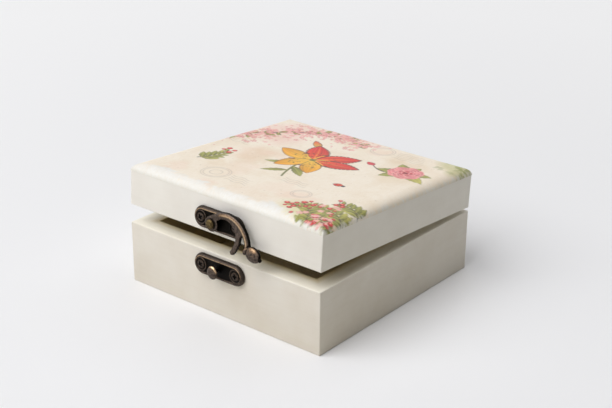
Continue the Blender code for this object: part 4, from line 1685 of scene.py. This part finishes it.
@dataclass(frozen=True)
class HookCasting:
    """The hook's forms in its own plane: u to the right and v up from the pivot, depth out of the wall.

    The profiles are in millimetres. The bead's goes out from the arm's outer circle, the others' from the
    axis that they are turned about. Wear and painted light change where the tab and the nub begin, in
    millimetres along u.
    """

    back: float = 0.0028
    web_front: float = 0.0047
    web_round: float = 0.0004
    boss_radius: float = 0.0038
    rim_width: float = 0.0020
    arm_centre: Point = (0.0096, -0.0062)
    arm_radius: float = 0.01375
    arch_centre: Point = (0.0083, -0.0026)
    arch_radius: float = 0.00684
    finger_inner: float = 0.01554
    finger_width: float = 0.0024
    root_angle: float = radians(-7)
    tip_angle: float = radians(-39)
    tail_angle: float = radians(-4)
    tab_centre: Point = (0.0265, -0.0075)
    tab_half: Triple = (0.0044, 0.0036, 0.0022)
    tab_tilt: float = radians(-20)
    nub_radius: float = 0.0010
    collar_centre: Point = (0.0225, -0.0066)
    collar_half: Triple = (0.0011, 0.0022, 0.0022)
    grain: float = 0.00013
    tab_from: Point = (22.0, 23.5)
    nub_from: Point = (30.2, 30.6)
    bead_profile: Profile = (
        (-2.75, 2.8), (0.0, 2.8), (0.0, 3.9), (-0.06, 4.3), (-0.24, 4.7), (-0.52, 4.98),
        (-0.9, 5.14), (-1.3, 5.2), (-1.7, 5.12), (-2.08, 4.94), (-2.42, 4.7), (-2.75, 4.4),
    )
    boss_profile: Profile = (
        (0.0, 2.8), (3.8, 2.8), (3.8, 4.3), (3.66, 4.62), (3.4, 4.78), (3.0, 4.82),
        (2.7, 4.7), (2.55, 4.5), (0.0, 4.5),
    )
    bore_profile: Profile = ((0.0, 2.0), (1.4, 2.0), (1.4, 6.0), (0.0, 6.0))

    def piece(self) -> Object:
        """Cast the hook from its closed forms, paint its rubbing, patina and painted light, and bore it for the
        rivet.

        Returns:
            The hook, in its own plane.
        """
        bm = bmesh.new()
        Workshop.slab(bm, self._web(), self.back, self.web_front, self.web_round)
        self._rim(bm)
        Workshop.turned(bm, in_mm(self.boss_profile), 72)
        self._finger(bm)
        self._tab(bm)
        hook = Workshop.piece("swing_hook_casting", bm)
        Workshop.cast(hook, self.grain, 4)
        Workshop.paint_wear_and_light(hook, self._wear_and_light)
        bore = bmesh.new()
        Workshop.turned(bore, in_mm(self.bore_profile), 48)
        Workshop.carve(hook, [Workshop.piece("bore", bore)])
        return hook

    def _tangent(self) -> float:
        """Direction in which the boss and the arm's outer circle share a tangent."""
        lean = acos((self.boss_radius - self.arm_radius) / hypot(*self.arm_centre))
        return atan2(self.arm_centre[1], self.arm_centre[0]) + lean

    def _meeting(self) -> float:
        """Find where the arch meets the boss, on its upper side.

        Returns:
            The direction of that point from the pivot.
        """
        apart = hypot(*self.arch_centre)
        share = (apart**2 + self.boss_radius**2 - self.arch_radius**2) / (2 * apart * self.boss_radius)
        return atan2(self.arch_centre[1], self.arch_centre[0]) + acos(share)

    def _web(self) -> list[Point]:
        """Outline the flat web: round the boss, over the arch, round the crotch and up the tail.

        Returns:
            Corners of the outline.
        """
        tangent, meeting = self._tangent(), self._meeting()
        meet = (self.boss_radius * cos(meeting), self.boss_radius * sin(meeting))
        arch_u, arch_v = self.arch_centre
        outer = self.finger_inner + self.finger_width
        root = (outer * cos(self.root_angle), outer * sin(self.root_angle))
        tail_inner = self.arm_radius - self.rim_width
        tail_turn = asin((root[1] - self.arm_centre[1]) / tail_inner)
        crotch = (self.arm_centre[0] + tail_inner * cos(tail_turn) - root[0]) / 2
        outline = arc((0, 0), self.boss_radius, tangent, meeting + 2 * pi)
        start = atan2(meet[1] - arch_v, meet[0] - arch_u)
        outline += arc(self.arch_centre, self.arch_radius, start, atan2(arch_v, arch_u))[1:]
        outline += arc((root[0] + crotch, root[1]), crotch, pi, 0, radians(20))
        outline += arc(self.arm_centre, tail_inner, tail_turn, self.tail_angle)[1:]
        outline += arc(self.arm_centre, self.arm_radius, self.tail_angle, tangent)
        return outline

    def _rim(self, bm: BMesh) -> None:
        """Add the raised outer rim, a bead with a crest near its outer side.

        Args:
            bm: The mesh that takes it.
        """
        profile = [(self.arm_radius + out, height) for out, height in in_mm(self.bead_profile)]
        start, end = self.tail_angle - 0.12, self._tangent() + 0.06
        Workshop.swept(bm, profile, self.arm_centre, start, end, 56)

    def _finger(self, bm: BMesh) -> None:
        """Add the finger that passes under the stud, round at its tip.

        Args:
            bm: The mesh that takes it.
        """
        half = self.finger_width / 2 / MM
        cap = [(0.0, 2.8), (half, 2.8), (half, 4.2), (half - 0.18, 4.56), (half - 0.5, 4.76), (0.0, 4.84)]
        mirrored = [(-out, height) for out, height in reversed(cap[1:5])]
        section = in_mm([mirrored[-1], *cap[1:], *mirrored[:-1]])
        middle = self.finger_inner + self.finger_width / 2
        profile = [(middle + out, height) for out, height in section]
        Workshop.swept(bm, profile, (0, 0), self.root_angle + 0.1, self.tip_angle, 24)
        tip = Matrix.Translation((middle * cos(self.tip_angle), middle * sin(self.tip_angle), 0))
        Workshop.turned(bm, in_mm(cap), 48, tip)

    def _tab(self, bm: BMesh) -> None:
        """Add the thumb tab, an almond with a collar at its root and a nub at its end.

        Args:
            bm: The mesh that takes it.
        """
        middle = self.back + self.tab_half[2]
        for centre, half in ((self.tab_centre, self.tab_half), (self.collar_centre, self.collar_half)):
            spot = Matrix.Translation((*centre, middle)) @ Matrix.Rotation(self.tab_tilt, 4, "Z")
            size = Matrix.Diagonal((*half, 1.0))
            bmesh.ops.create_uvsphere(bm, u_segments=64, v_segments=40, radius=1.0, matrix=spot @ size)
        out = Vector((cos(self.tab_tilt), sin(self.tab_tilt), 0)) * self.tab_half[0]
        nub = Matrix.Translation(Vector((*self.tab_centre, middle)) + out)
        bmesh.ops.create_uvsphere(bm, u_segments=32, v_segments=20, radius=self.nub_radius, matrix=nub)

    def _wear_and_light(self, skin: Skin) -> Shares:
        """Give a bright crest along the rim, bare metal from rubbing and a painted highlight, a painted
        highlight on the thumb tab, and dark flanks as painted shade.

        Args:
            skin: The hook's points.

        Returns:
            The bright share and the dark share.
        """
        places, lift, bend = skin.places, skin.lift, skin.bend
        out = places[:, :2] - np.array(self.arm_centre) / MM
        across = np.abs(np.hypot(*out.T) - self.arm_radius / MM + 1.2)
        turn = np.arctan2(out[:, 1], out[:, 0])
        ends = step(turn, -0.12, 0.1) * step(-turn, -2.15, -1.7)
        # the crest: bare metal from rubbing, and a painted highlight along the bead
        crest = 0.42 * step(-across, -1.4, -0.3) + 0.5 * step(-across, -0.6, -0.05)
        bead = crest * ends * step(skin.height, 4.3, 4.9)
        tab = step(places[:, 0], *self.tab_from)
        edges = step(bend, 0.4, 2.0) * step(lift, 0.2, 0.8) * (0.45 - 0.3 * tab)
        # painted highlights on the thumb tab, where it faces up and out
        glow = 0.22 * skin.facing((0.1, 0.6, 0.79), 0.6, 0.9)
        glint = 0.28 * skin.facing((0.16, 0.66, 0.73), 0.88, 1.0)
        rub = np.maximum(np.maximum(bead * (1 - tab), edges), tab * (glow + glint))
        # painted shade on the flanks, less where they face the wall
        behind = 1 - 0.6 * step(-lift, 0.4, 0.8)
        sides = step(-lift, -0.7, -0.15) * (1 - 0.35 * tab) * behind
        nub = step(places[:, 0], *self.nub_from)
        return rub * (1 - nub), np.maximum(np.maximum(sides, nub), step(-bend, 0.3, 1.2))


@dataclass
class Latch:
    """Both plates with their screws, the stud, the rivet and the swing hook.

    The shoulder and the brim are (inset, rise) steps inwards from a plate's edge. They and the
    (radius, height) profiles of what is turned are in millimetres.
    """

    finishes: Finishes
    layout: Layout = LAYOUT
    sizes: LatchSizes = LATCH
    screws: ScrewMaker = ScrewMaker(0.0021, 0.0010, 0.0085, 0.00035)
    hook: HookCasting = HookCasting()
    grain: float = 0.00014
    outline_facets: int = 96
    side_rise: float = 0.0006
    stud_stretch: float = 1.14
    shoulder: Profile = ((0.12, 0.42), (0.26, 0.50), (0.34, 0.38), (0.26, 0.18))
    brim: Profile = ((0.22, 0.03), (0.2, -0.04), (0.16, -0.14), (0.12, -0.22), (0.14, -0.16))
    seat_ring: Profile = (
        (0.0, 0.6), (3.55, 0.6), (3.68, 1.9), (3.6, 2.2), (3.4, 2.36), (3.15, 2.36), (2.98, 2.2),
        (2.9, 1.98), (2.78, 1.94), (2.66, 2.08), (2.5, 2.2), (2.34, 2.2), (2.28, 1.9), (0.0, 1.9),
    )
    stud_profile: Profile = (
        (0.0, 0.6), (1.7, 0.6), (1.7, 1.0), (1.1, 1.0), (1.1, 2.3), (2.0, 2.3), (2.0, 2.42),
        (1.9, 2.5), (0.9, 2.5), (0.9, 5.2), (1.9, 5.2), (2.5, 5.24), (2.82, 5.36), (2.95, 5.58),
        (2.98, 5.84), (2.9, 6.17), (2.68, 6.5), (2.3, 6.8), (1.7, 7.02), (0.9, 7.13), (0.0, 7.16),
    )
    rivet_profile: Profile = (
        (0.0, 0.6), (1.7, 0.6), (1.7, 1.0), (1.1, 1.0), (1.1, 5.1), (2.2, 5.1), (2.4, 5.18),
        (2.46, 5.4), (2.42, 5.7), (2.28, 5.98), (2.0, 6.2), (1.5, 6.36), (0.8, 6.44), (0.0, 6.46),
    )

    def build(self) -> None:
        """Make the whole latch."""
        sizes, layout, finishes = self.sizes, self.layout, self.finishes
        lid = layout.tilt @ layout.on_front(sizes.offset, sizes.hook_plate_z)
        base = layout.on_front(sizes.offset, sizes.catch_plate_z)
        pivot = layout.tilt @ layout.on_front(sizes.pivot_x, sizes.pivot_z)
        self._plate("hook_plate", lid, Body.LID, self._shaded_plate_wear)
        self._plate("catch_plate", base, Body.BASE, self._plate_wear_and_light)
        stud = self._turning("catch_stud_knob", self.stud_profile, self._stud_painted_light, base, self.stud_stretch)
        Workshop.hand_over(stud, finishes.bronze, Body.BASE, Slot.BRONZE, ["catch_stud"])
        rivet = self._turning("hook_rivet_head", self.rivet_profile, self._rivet_wear_and_light, pivot)
        Workshop.hand_over(rivet, finishes.brass, Body.LID, Slot.BRASS, ["hook_rivet"])
        hook = self.hook.piece()
        hook.data.transform(pivot)
        Workshop.hand_over(hook, finishes.bronze, Body.HOOK, Slot.BRONZE, ["swing_hook"])

    def _plate(self, node: str, place: Matrix, body: Body, rule: WearAndLightRule) -> None:
        """Make a plate and its two screws.

        Args:
            node: The solid that it replaces.
            place: Where it goes.
            body: The body that it rides on.
            rule: Gives its bright and dark shares, painted highlights and painted shade among them.
        """
        sizes, bronze = self.sizes, self.finishes.bronze
        bm = bmesh.new()
        self._dish(bm)
        for side in (-1, 1):
            spot = Matrix.Translation((side * sizes.screw_u, 0, 0))
            Workshop.turned(bm, in_mm(self.seat_ring), 72, spot)
        plate = Workshop.piece(f"{node}_metal", bm)
        Workshop.cast(plate, self.grain, 3)
        Workshop.paint_wear_and_light(plate, rule)
        plate.data.transform(place)
        Workshop.hand_over(plate, bronze, body, Slot.BRONZE, [node])
        for word, side, turn in (("left", -1, 0.5), ("right", 1, 0.15)):
            seat = Matrix.Translation((side * sizes.screw_u, 0, sizes.lobe_top - sizes.screw_sink))
            screw = self.screws.piece(f"{node}_metal_{word}_screw", turn, place @ seat)
            Workshop.hand_over(screw, bronze, body, Slot.BRONZE, [f"{node}_{word}_screw"])

    def _dish(self, bm: BMesh) -> None:
        """Add a plate's long round outline with a raised brim and a sunk field.

        Args:
            bm: The mesh that takes it.
        """
        sizes = self.sizes
        radius = sizes.width / 2
        run = sizes.length / 2 - radius
        half_facet = Matrix.Rotation(pi / self.outline_facets, 4, "Z")
        seat = half_facet @ Matrix.Translation((0, 0, sizes.seat))
        bmesh.ops.create_circle(bm, cap_ends=True, segments=self.outline_facets, radius=radius, matrix=seat)
        for side in (-1, 1):
            ends = [vert for vert in bm.verts if vert.co.x * side > 0]
            bmesh.ops.translate(bm, vec=(side * run, 0, 0), verts=ends)
        (disc,) = bm.faces
        (face,) = of_kind(raised(bm, disc, self.side_rise), BMFace)
        bmesh.ops.recalc_face_normals(bm, faces=bm.faces)
        for inset, rise in (*self.shoulder, *self.brim):
            width, depth = inset * MM, rise * MM
            bmesh.ops.inset_region(bm, faces=[face], thickness=width, depth=depth, use_even_offset=True)

    @staticmethod
    def _turning(name: str, profile: Profile, rule: WearAndLightRule, place: Matrix, stretch: float = 1.0) -> Object:
        """Make the stud or the rivet.

        Args:
            name: The piece's name.
            profile: Half of its outline.
            rule: Gives its bright and dark shares, painted highlights and painted shade among them.
            place: Where it goes.
            stretch: How much taller than wide its head is.

        Returns:
            The piece, in its place.
        """
        bm = bmesh.new()
        Workshop.turned(bm, in_mm(profile), 64)
        head = [v for v in bm.verts if v.co.z > 5.1 * MM and hypot(v.co.x, v.co.y) > 1.0 * MM]
        bmesh.ops.scale(bm, vec=(1.0, stretch, 1.0), verts=head)
        made = Workshop.piece(name, bm, None, 50)
        Workshop.paint_wear_and_light(made, rule)
        made.data.transform(place)
        return made

    def _plate_wear_and_light(self, skin: Skin) -> Shares:
        """Give a bright line along the brim, bare metal with a painted highlight that is brightest above, a
        dark field, and sides darkened as painted shade.

        Args:
            skin: The plate's points.

        Returns:
            The bright share and the dark share.
        """
        places, lift, bend = skin.places, skin.lift, skin.bend
        straight = (self.sizes.length - self.sizes.width) / 2 / MM
        from_middle = np.hypot(np.maximum(np.abs(places[:, 0]) - straight, 0), places[:, 1])
        from_rim = self.sizes.width / 2 / MM - from_middle
        inside = step(from_rim, 1.5, 2.0)
        # painted highlight: the brim line is brighter on the plate's upper half
        above = 0.3 + 0.7 * step(places[:, 1], -2.0, 3.0)
        line = step(-np.abs(from_rim - 1.12), -0.34, -0.04) * (lift > 0) * above
        rub = np.maximum(0.86 * line, 0.2 * step(bend, 0.35, 1.6) * step(lift, 0.1, 0.6) * inside)
        low = step(-skin.height, -2.26, -2.08) * inside
        # painted shade on the plate's sides, darkest on the sides that face up
        sides = (0.26 + 0.14 * skin.facing((0.35, 0.94, 0.0), -0.2, 0.4)) * step(-lift, -0.92, -0.5)
        return rub, np.maximum(np.maximum(low, sides), 0.25 + step(-bend, 0.3, 1.2))

    def _shaded_plate_wear(self, skin: Skin) -> Shares:
        """Treat the plate as the other one, but darker where it lies under the hook, as painted shade with
        grime.

        Args:
            skin: The plate's points.

        Returns:
            The bright share and the dark share.
        """
        rub, sunk = self._plate_wear_and_light(skin)
        places = skin.places
        # painted shade, with some grime, where the plate lies under the hook
        under = step(-np.hypot(places[:, 0] - self.sizes.screw_u / MM, places[:, 1]), -4.3, -3.4)
        return rub * (1 - 0.7 * under), np.maximum(sunk, 0.62 * under)

    @staticmethod
    def _stud_painted_light(skin: Skin) -> Shares:
        """Give a painted highlight over the shoulder of the head, on its upper side, and a dark neck as painted
        shade.
        """
        # painted highlight on the head's upper shoulder; painted shade on the neck under the head
        shoulder = step(-np.abs(skin.lift - 0.62), -0.42, -0.1) * skin.facing((0.3, 0.95, 0.0), 0.2, 0.62)
        return 1.1 * shoulder * step(skin.height, 5.0, 5.3), step(-skin.height, -5.3, -5.1)

    @staticmethod
    def _rivet_wear_and_light(skin: Skin) -> Shares:
        """Give an even dull brightening over the face, with a painted highlight where it turns a little up, and
        a dark neck as painted shade.
        """
        # even rubbing over the face plus a painted highlight where it faces a little up; painted shade on the
        # neck
        face = 0.25 * step(skin.lift, 0.6, 0.9) + 0.25 * skin.facing((-0.12, 0.36, 0.92), 0.86, 1.0)
        return face * step(skin.height, 5.0, 5.3), step(-skin.height, -5.5, -5.2)


# Hinges


@dataclass
class Hinges:
    """Two small butt hinges on the back.

    The pin's head is half of an outline, in millimetres from the pin's end.
    """

    finishes: Finishes
    layout: Layout = LAYOUT
    screws: ScrewMaker = ScrewMaker(0.0016, 0.0008, 0.0070, 0.00012)
    leaf_length: float = 0.018
    leaf_reach: float = 0.0082
    leaf_thickness: float = 0.0007
    knuckle_radius: float = 0.0015
    knuckle_round: float = 0.00012
    knuckles: int = 3
    screw_spacing: float = 0.0105
    screw_sink: float = 0.00013
    grain: float = 0.00015
    pin_head: Profile = (
        (0.6, 0.0), (1.15, 0.0), (1.2, 0.2), (1.1, 0.42), (0.8, 0.58), (0.4, 0.66), (0.0, 0.68),
    )

    def build(self) -> None:
        """Make both hinges."""
        for side, outward in (("left", 1), ("right", -1)):
            self._half(side, outward, Body.BASE)
            self._half(side, outward, Body.LID)
            self._pin(side, -outward * self.layout.hinge_x)

    def _half(self, side: str, outward: int, body: Body) -> None:
        """Make one leaf of a hinge and its two screws.

        Args:
            side: The hinge's side.
            outward: 1 where X grows towards the box's middle, or else -1.
            body: The body that it rides on.
        """
        layout, bronze = self.layout, self.finishes.bronze
        on_lid = body is Body.LID
        flip, owned = (1, (1,)) if on_lid else (-1, (0, 2))
        turn = layout.tilt if on_lid else Matrix.Identity(4)
        x, y = -outward * layout.hinge_x, layout.depth / 2 - self.leaf_reach / 2
        level = layout.hinge_z + flip * layout.gap / 2
        stem = f"{side}_hinge_{body.value}"
        leaf = self._leaf(f"{stem}_leaf_metal", level, flip, owned)
        leaf.data.transform(turn @ Matrix.Translation((x, 0, 0)))
        Workshop.hand_over(leaf, bronze, body, Slot.BRONZE, [f"{stem}_leaf"])
        sunk = Matrix.Translation((0, 0, -self.screw_sink))
        for word, way in (("outer", -1), ("inner", 1)):
            spot = Matrix.Translation((x + way * outward * self.screw_spacing / 2, y, level))
            if on_lid:
                spot = spot @ Matrix.Rotation(pi, 4, "X")
            screw = self.screws.piece(f"{stem}_{word}_screw_metal", 0.4 + way, turn @ spot @ sunk)
            Workshop.hand_over(screw, bronze, body, Slot.BRONZE, [f"{stem}_{word}_screw"])

    def _along(self, x: float) -> Matrix:
        """Local Z along the hinge line."""
        spot = Matrix.Translation((x, self.layout.hinge_y, self.layout.hinge_z))
        return spot @ Matrix.Rotation(pi / 2, 4, "Y")

    def _leaf(self, name: str, level: float, flip: int, owned: Sequence[int]) -> Object:
        """Make a leaf with rolled knuckles, at local X 0.

        Args:
            name: Its name.
            level: Height of the face that it turns to the other leaf.
            flip: 1 where it lies above that face, or else -1.
            owned: Which of the hinge's knuckles are its own, from the left.

        Returns:
            The leaf.
        """
        layout = self.layout
        half, edge, gap = self.leaf_length / 2, layout.depth / 2, layout.gap / 2
        low, high = sorted((level, level + flip * self.leaf_thickness))
        bm = bmesh.new()
        outline = [(half, edge - self.leaf_reach), (-half, edge - self.leaf_reach), (-half, edge)]
        pitch = self.leaf_length / self.knuckles
        barrels = []
        for index in owned:
            start = -half + index * pitch + (gap if index else 0)
            end = -half + (index + 1) * pitch - (gap if index < self.knuckles - 1 else 0)
            left, right = start + gap, end - gap
            outline += [(left, edge), (left, layout.hinge_y), (right, layout.hinge_y), (right, edge)]
            barrels.append((start, end))
        outline.append((half, edge))
        Workshop.slab(bm, outline, low, high)
        for start, end in barrels:
            Workshop.turned(bm, self._barrel(start, end), 48, self._along(0))
        leaf = Workshop.piece(name, bm)
        Workshop.cast(leaf, self.grain, 2)
        Workshop.paint_wear_and_light(leaf, plain_wear)
        return leaf

    def _barrel(self, start: float, end: float) -> list[Point]:
        """Draw half of a knuckle's outline.

        Args:
            start: Where it starts along the hinge line.
            end: Where it ends.

        Returns:
            The (radius, height) points.
        """
        radius, soft = self.knuckle_radius, self.knuckle_round
        lower = [(0.0, start), (radius - soft, start), (radius, start + soft)]
        return [*lower, (radius, end - soft), (radius - soft, end), (0.0, end)]

    def _pin(self, side: str, x: float) -> None:
        """Make a hinge pin with a crowned head at each end.

        Args:
            side: The hinge's side.
            x: The hinge's middle.
        """
        reach = self.leaf_length / 2 + self.layout.gap
        bm = bmesh.new()
        upper = [(out, reach + height) for out, height in in_mm(self.pin_head)]
        lower = [(out, -height) for out, height in reversed(upper)]
        Workshop.turned(bm, lower + upper, 40, self._along(x))
        pin = Workshop.piece(f"{side}_hinge_pin_metal", bm)
        Workshop.paint_wear_and_light(pin, plain_wear, 1)
        Workshop.hand_over(pin, self.finishes.bronze, Body.BASE, Slot.BRONZE, [f"{side}_hinge_pin"])


# Studio


@dataclass(frozen=True)
class Studio:
    """The camera, the soft lamps, the pale floor and the white surroundings."""

    eye: Triple = (0.36505, -0.44476, 0.28319)
    right: Triple = (0.7732, 0.6341, 0.0073)
    up: Triple = (-0.2534, 0.2983, 0.9202)
    lens: float = 73.72
    sensor: float = 36.0
    near_limit: float = 0.01
    floor_size: float = 6.0
    floor_drop: float = 0.00002
    floor_colour: Colour = ink(241, 241, 243)
    bounce_colour: Colour = ink(225, 222, 210)
    fill: float = 0.015
    aim: Triple = (0.0, 0.0, 0.03)
    key_power: float = 93.0
    key_place: Triple = (-0.64, -1.6, 2.32)
    key_size: float = 2.88
    top_power: float = 24.0
    top_place: Triple = (0.08, 1.36, 2.4)
    top_size: float = 2.56

    def build(self) -> None:
        """Set up everything that isn't part of the box."""
        self._camera()
        self._lamp("key_lamp", self.key_place, self.key_power, self.key_size)
        self._lamp("top_lamp", self.top_place, self.top_power, self.top_size)
        self._floor()
        self._world()
        bpy.context.scene.view_settings.view_transform = "Standard"

    def _camera(self) -> None:
        """Set up the photograph's own viewpoint."""
        data = bpy.data.cameras.new("camera")
        data.lens = self.lens
        data.sensor_width = self.sensor
        data.clip_start = self.near_limit
        camera = link("camera", data)
        right, up = Vector(self.right).normalized(), Vector(self.up).normalized()
        turn = Matrix((right, up, right.cross(up))).transposed().to_4x4()
        camera.matrix_world = Matrix.Translation(self.eye) @ turn
        bpy.context.scene.camera = camera

    def _lamp(self, name: str, place: Triple, power: float, size: float) -> None:
        """Set up a square soft lamp that faces the box.

        Args:
            name: Its name.
            place: Where it stands.
            power: Its power, in watts.
            size: Its side.
        """
        data = bpy.data.lights.new(name, "AREA")
        data.energy = power
        data.size = size
        lamp = link(name, data)
        lamp.location = place
        ray = Vector(self.aim) - Vector(place)
        lamp.rotation_euler = ray.to_track_quat("-Z", "Y").to_euler()

    def _floor(self) -> None:
        """Lay a plain pale floor that fades into the white surroundings far from the camera."""
        mesh = bpy.data.meshes.new("floor")
        with edited(mesh) as bm:
            bmesh.ops.create_grid(bm, x_segments=1, y_segments=1, size=self.floor_size / 2)
        floor = link("floor", mesh)
        floor.location.z = -self.floor_drop
        graph = ShaderGraph(bpy.data.materials.new("floor"))
        seen, gloss = self._rays(graph, "Camera", "Glossy")
        tone = graph.mix(seen + gloss, self.bounce_colour, self.floor_colour)
        mesh.materials.append(graph.dress(base_color=tone, roughness=0.6, specular_ior_level=0.3))
        away = graph.node("ShaderNodeVectorMath", {"operation": "LENGTH"}, {0: graph.place()}, "Value")
        fade = graph.ramp(away * 0.4, (0.06, 0.0), (0.22, 0.35), (0.88, 1.0))
        white = graph.node("ShaderNodeEmission", None, {"Color": WHITE, "Strength": 1.0})
        plain = Wire(graph, graph.tree.nodes["Principled BSDF"].outputs[0])
        surface = graph.node("ShaderNodeMixShader", None, {0: fade * seen, 1: plain, 2: white})
        graph.end("Material Output", "Surface", surface)

    def _world(self) -> None:
        """Give even fill light, and white where the camera, gloss or glass looks past the floor."""
        world = bpy.data.worlds.new("surroundings")
        bpy.context.scene.world = world
        graph = ShaderGraph(world)
        eye, gloss, glass = self._rays(graph, "Camera", "Glossy", "Transmission")
        seen = eye.at_least(gloss).at_least(glass)
        graph.end("Background", "Color", WHITE)
        graph.end("Background", "Strength", self.fill + (1 - self.fill) * seen)

    @staticmethod
    def _rays(graph: ShaderGraph, *kinds: str) -> list[Wire]:
        """Tell by kind what ray is being traced."""
        return [graph.node("ShaderNodeLightPath", output=f"Is {kind} Ray") for kind in kinds]


def main() -> None:
    """Build the box's looks and the studio."""
    logging.basicConfig(level=logging.INFO, format="%(name)s %(message)s")
    finishes = Finishes()
    PaintedCase(finishes).build()
    PaperedTop(finishes).build()
    Latch(finishes).build()
    Hinges(finishes).build()
    Studio().build()


if __name__ == "__main__":
    main()
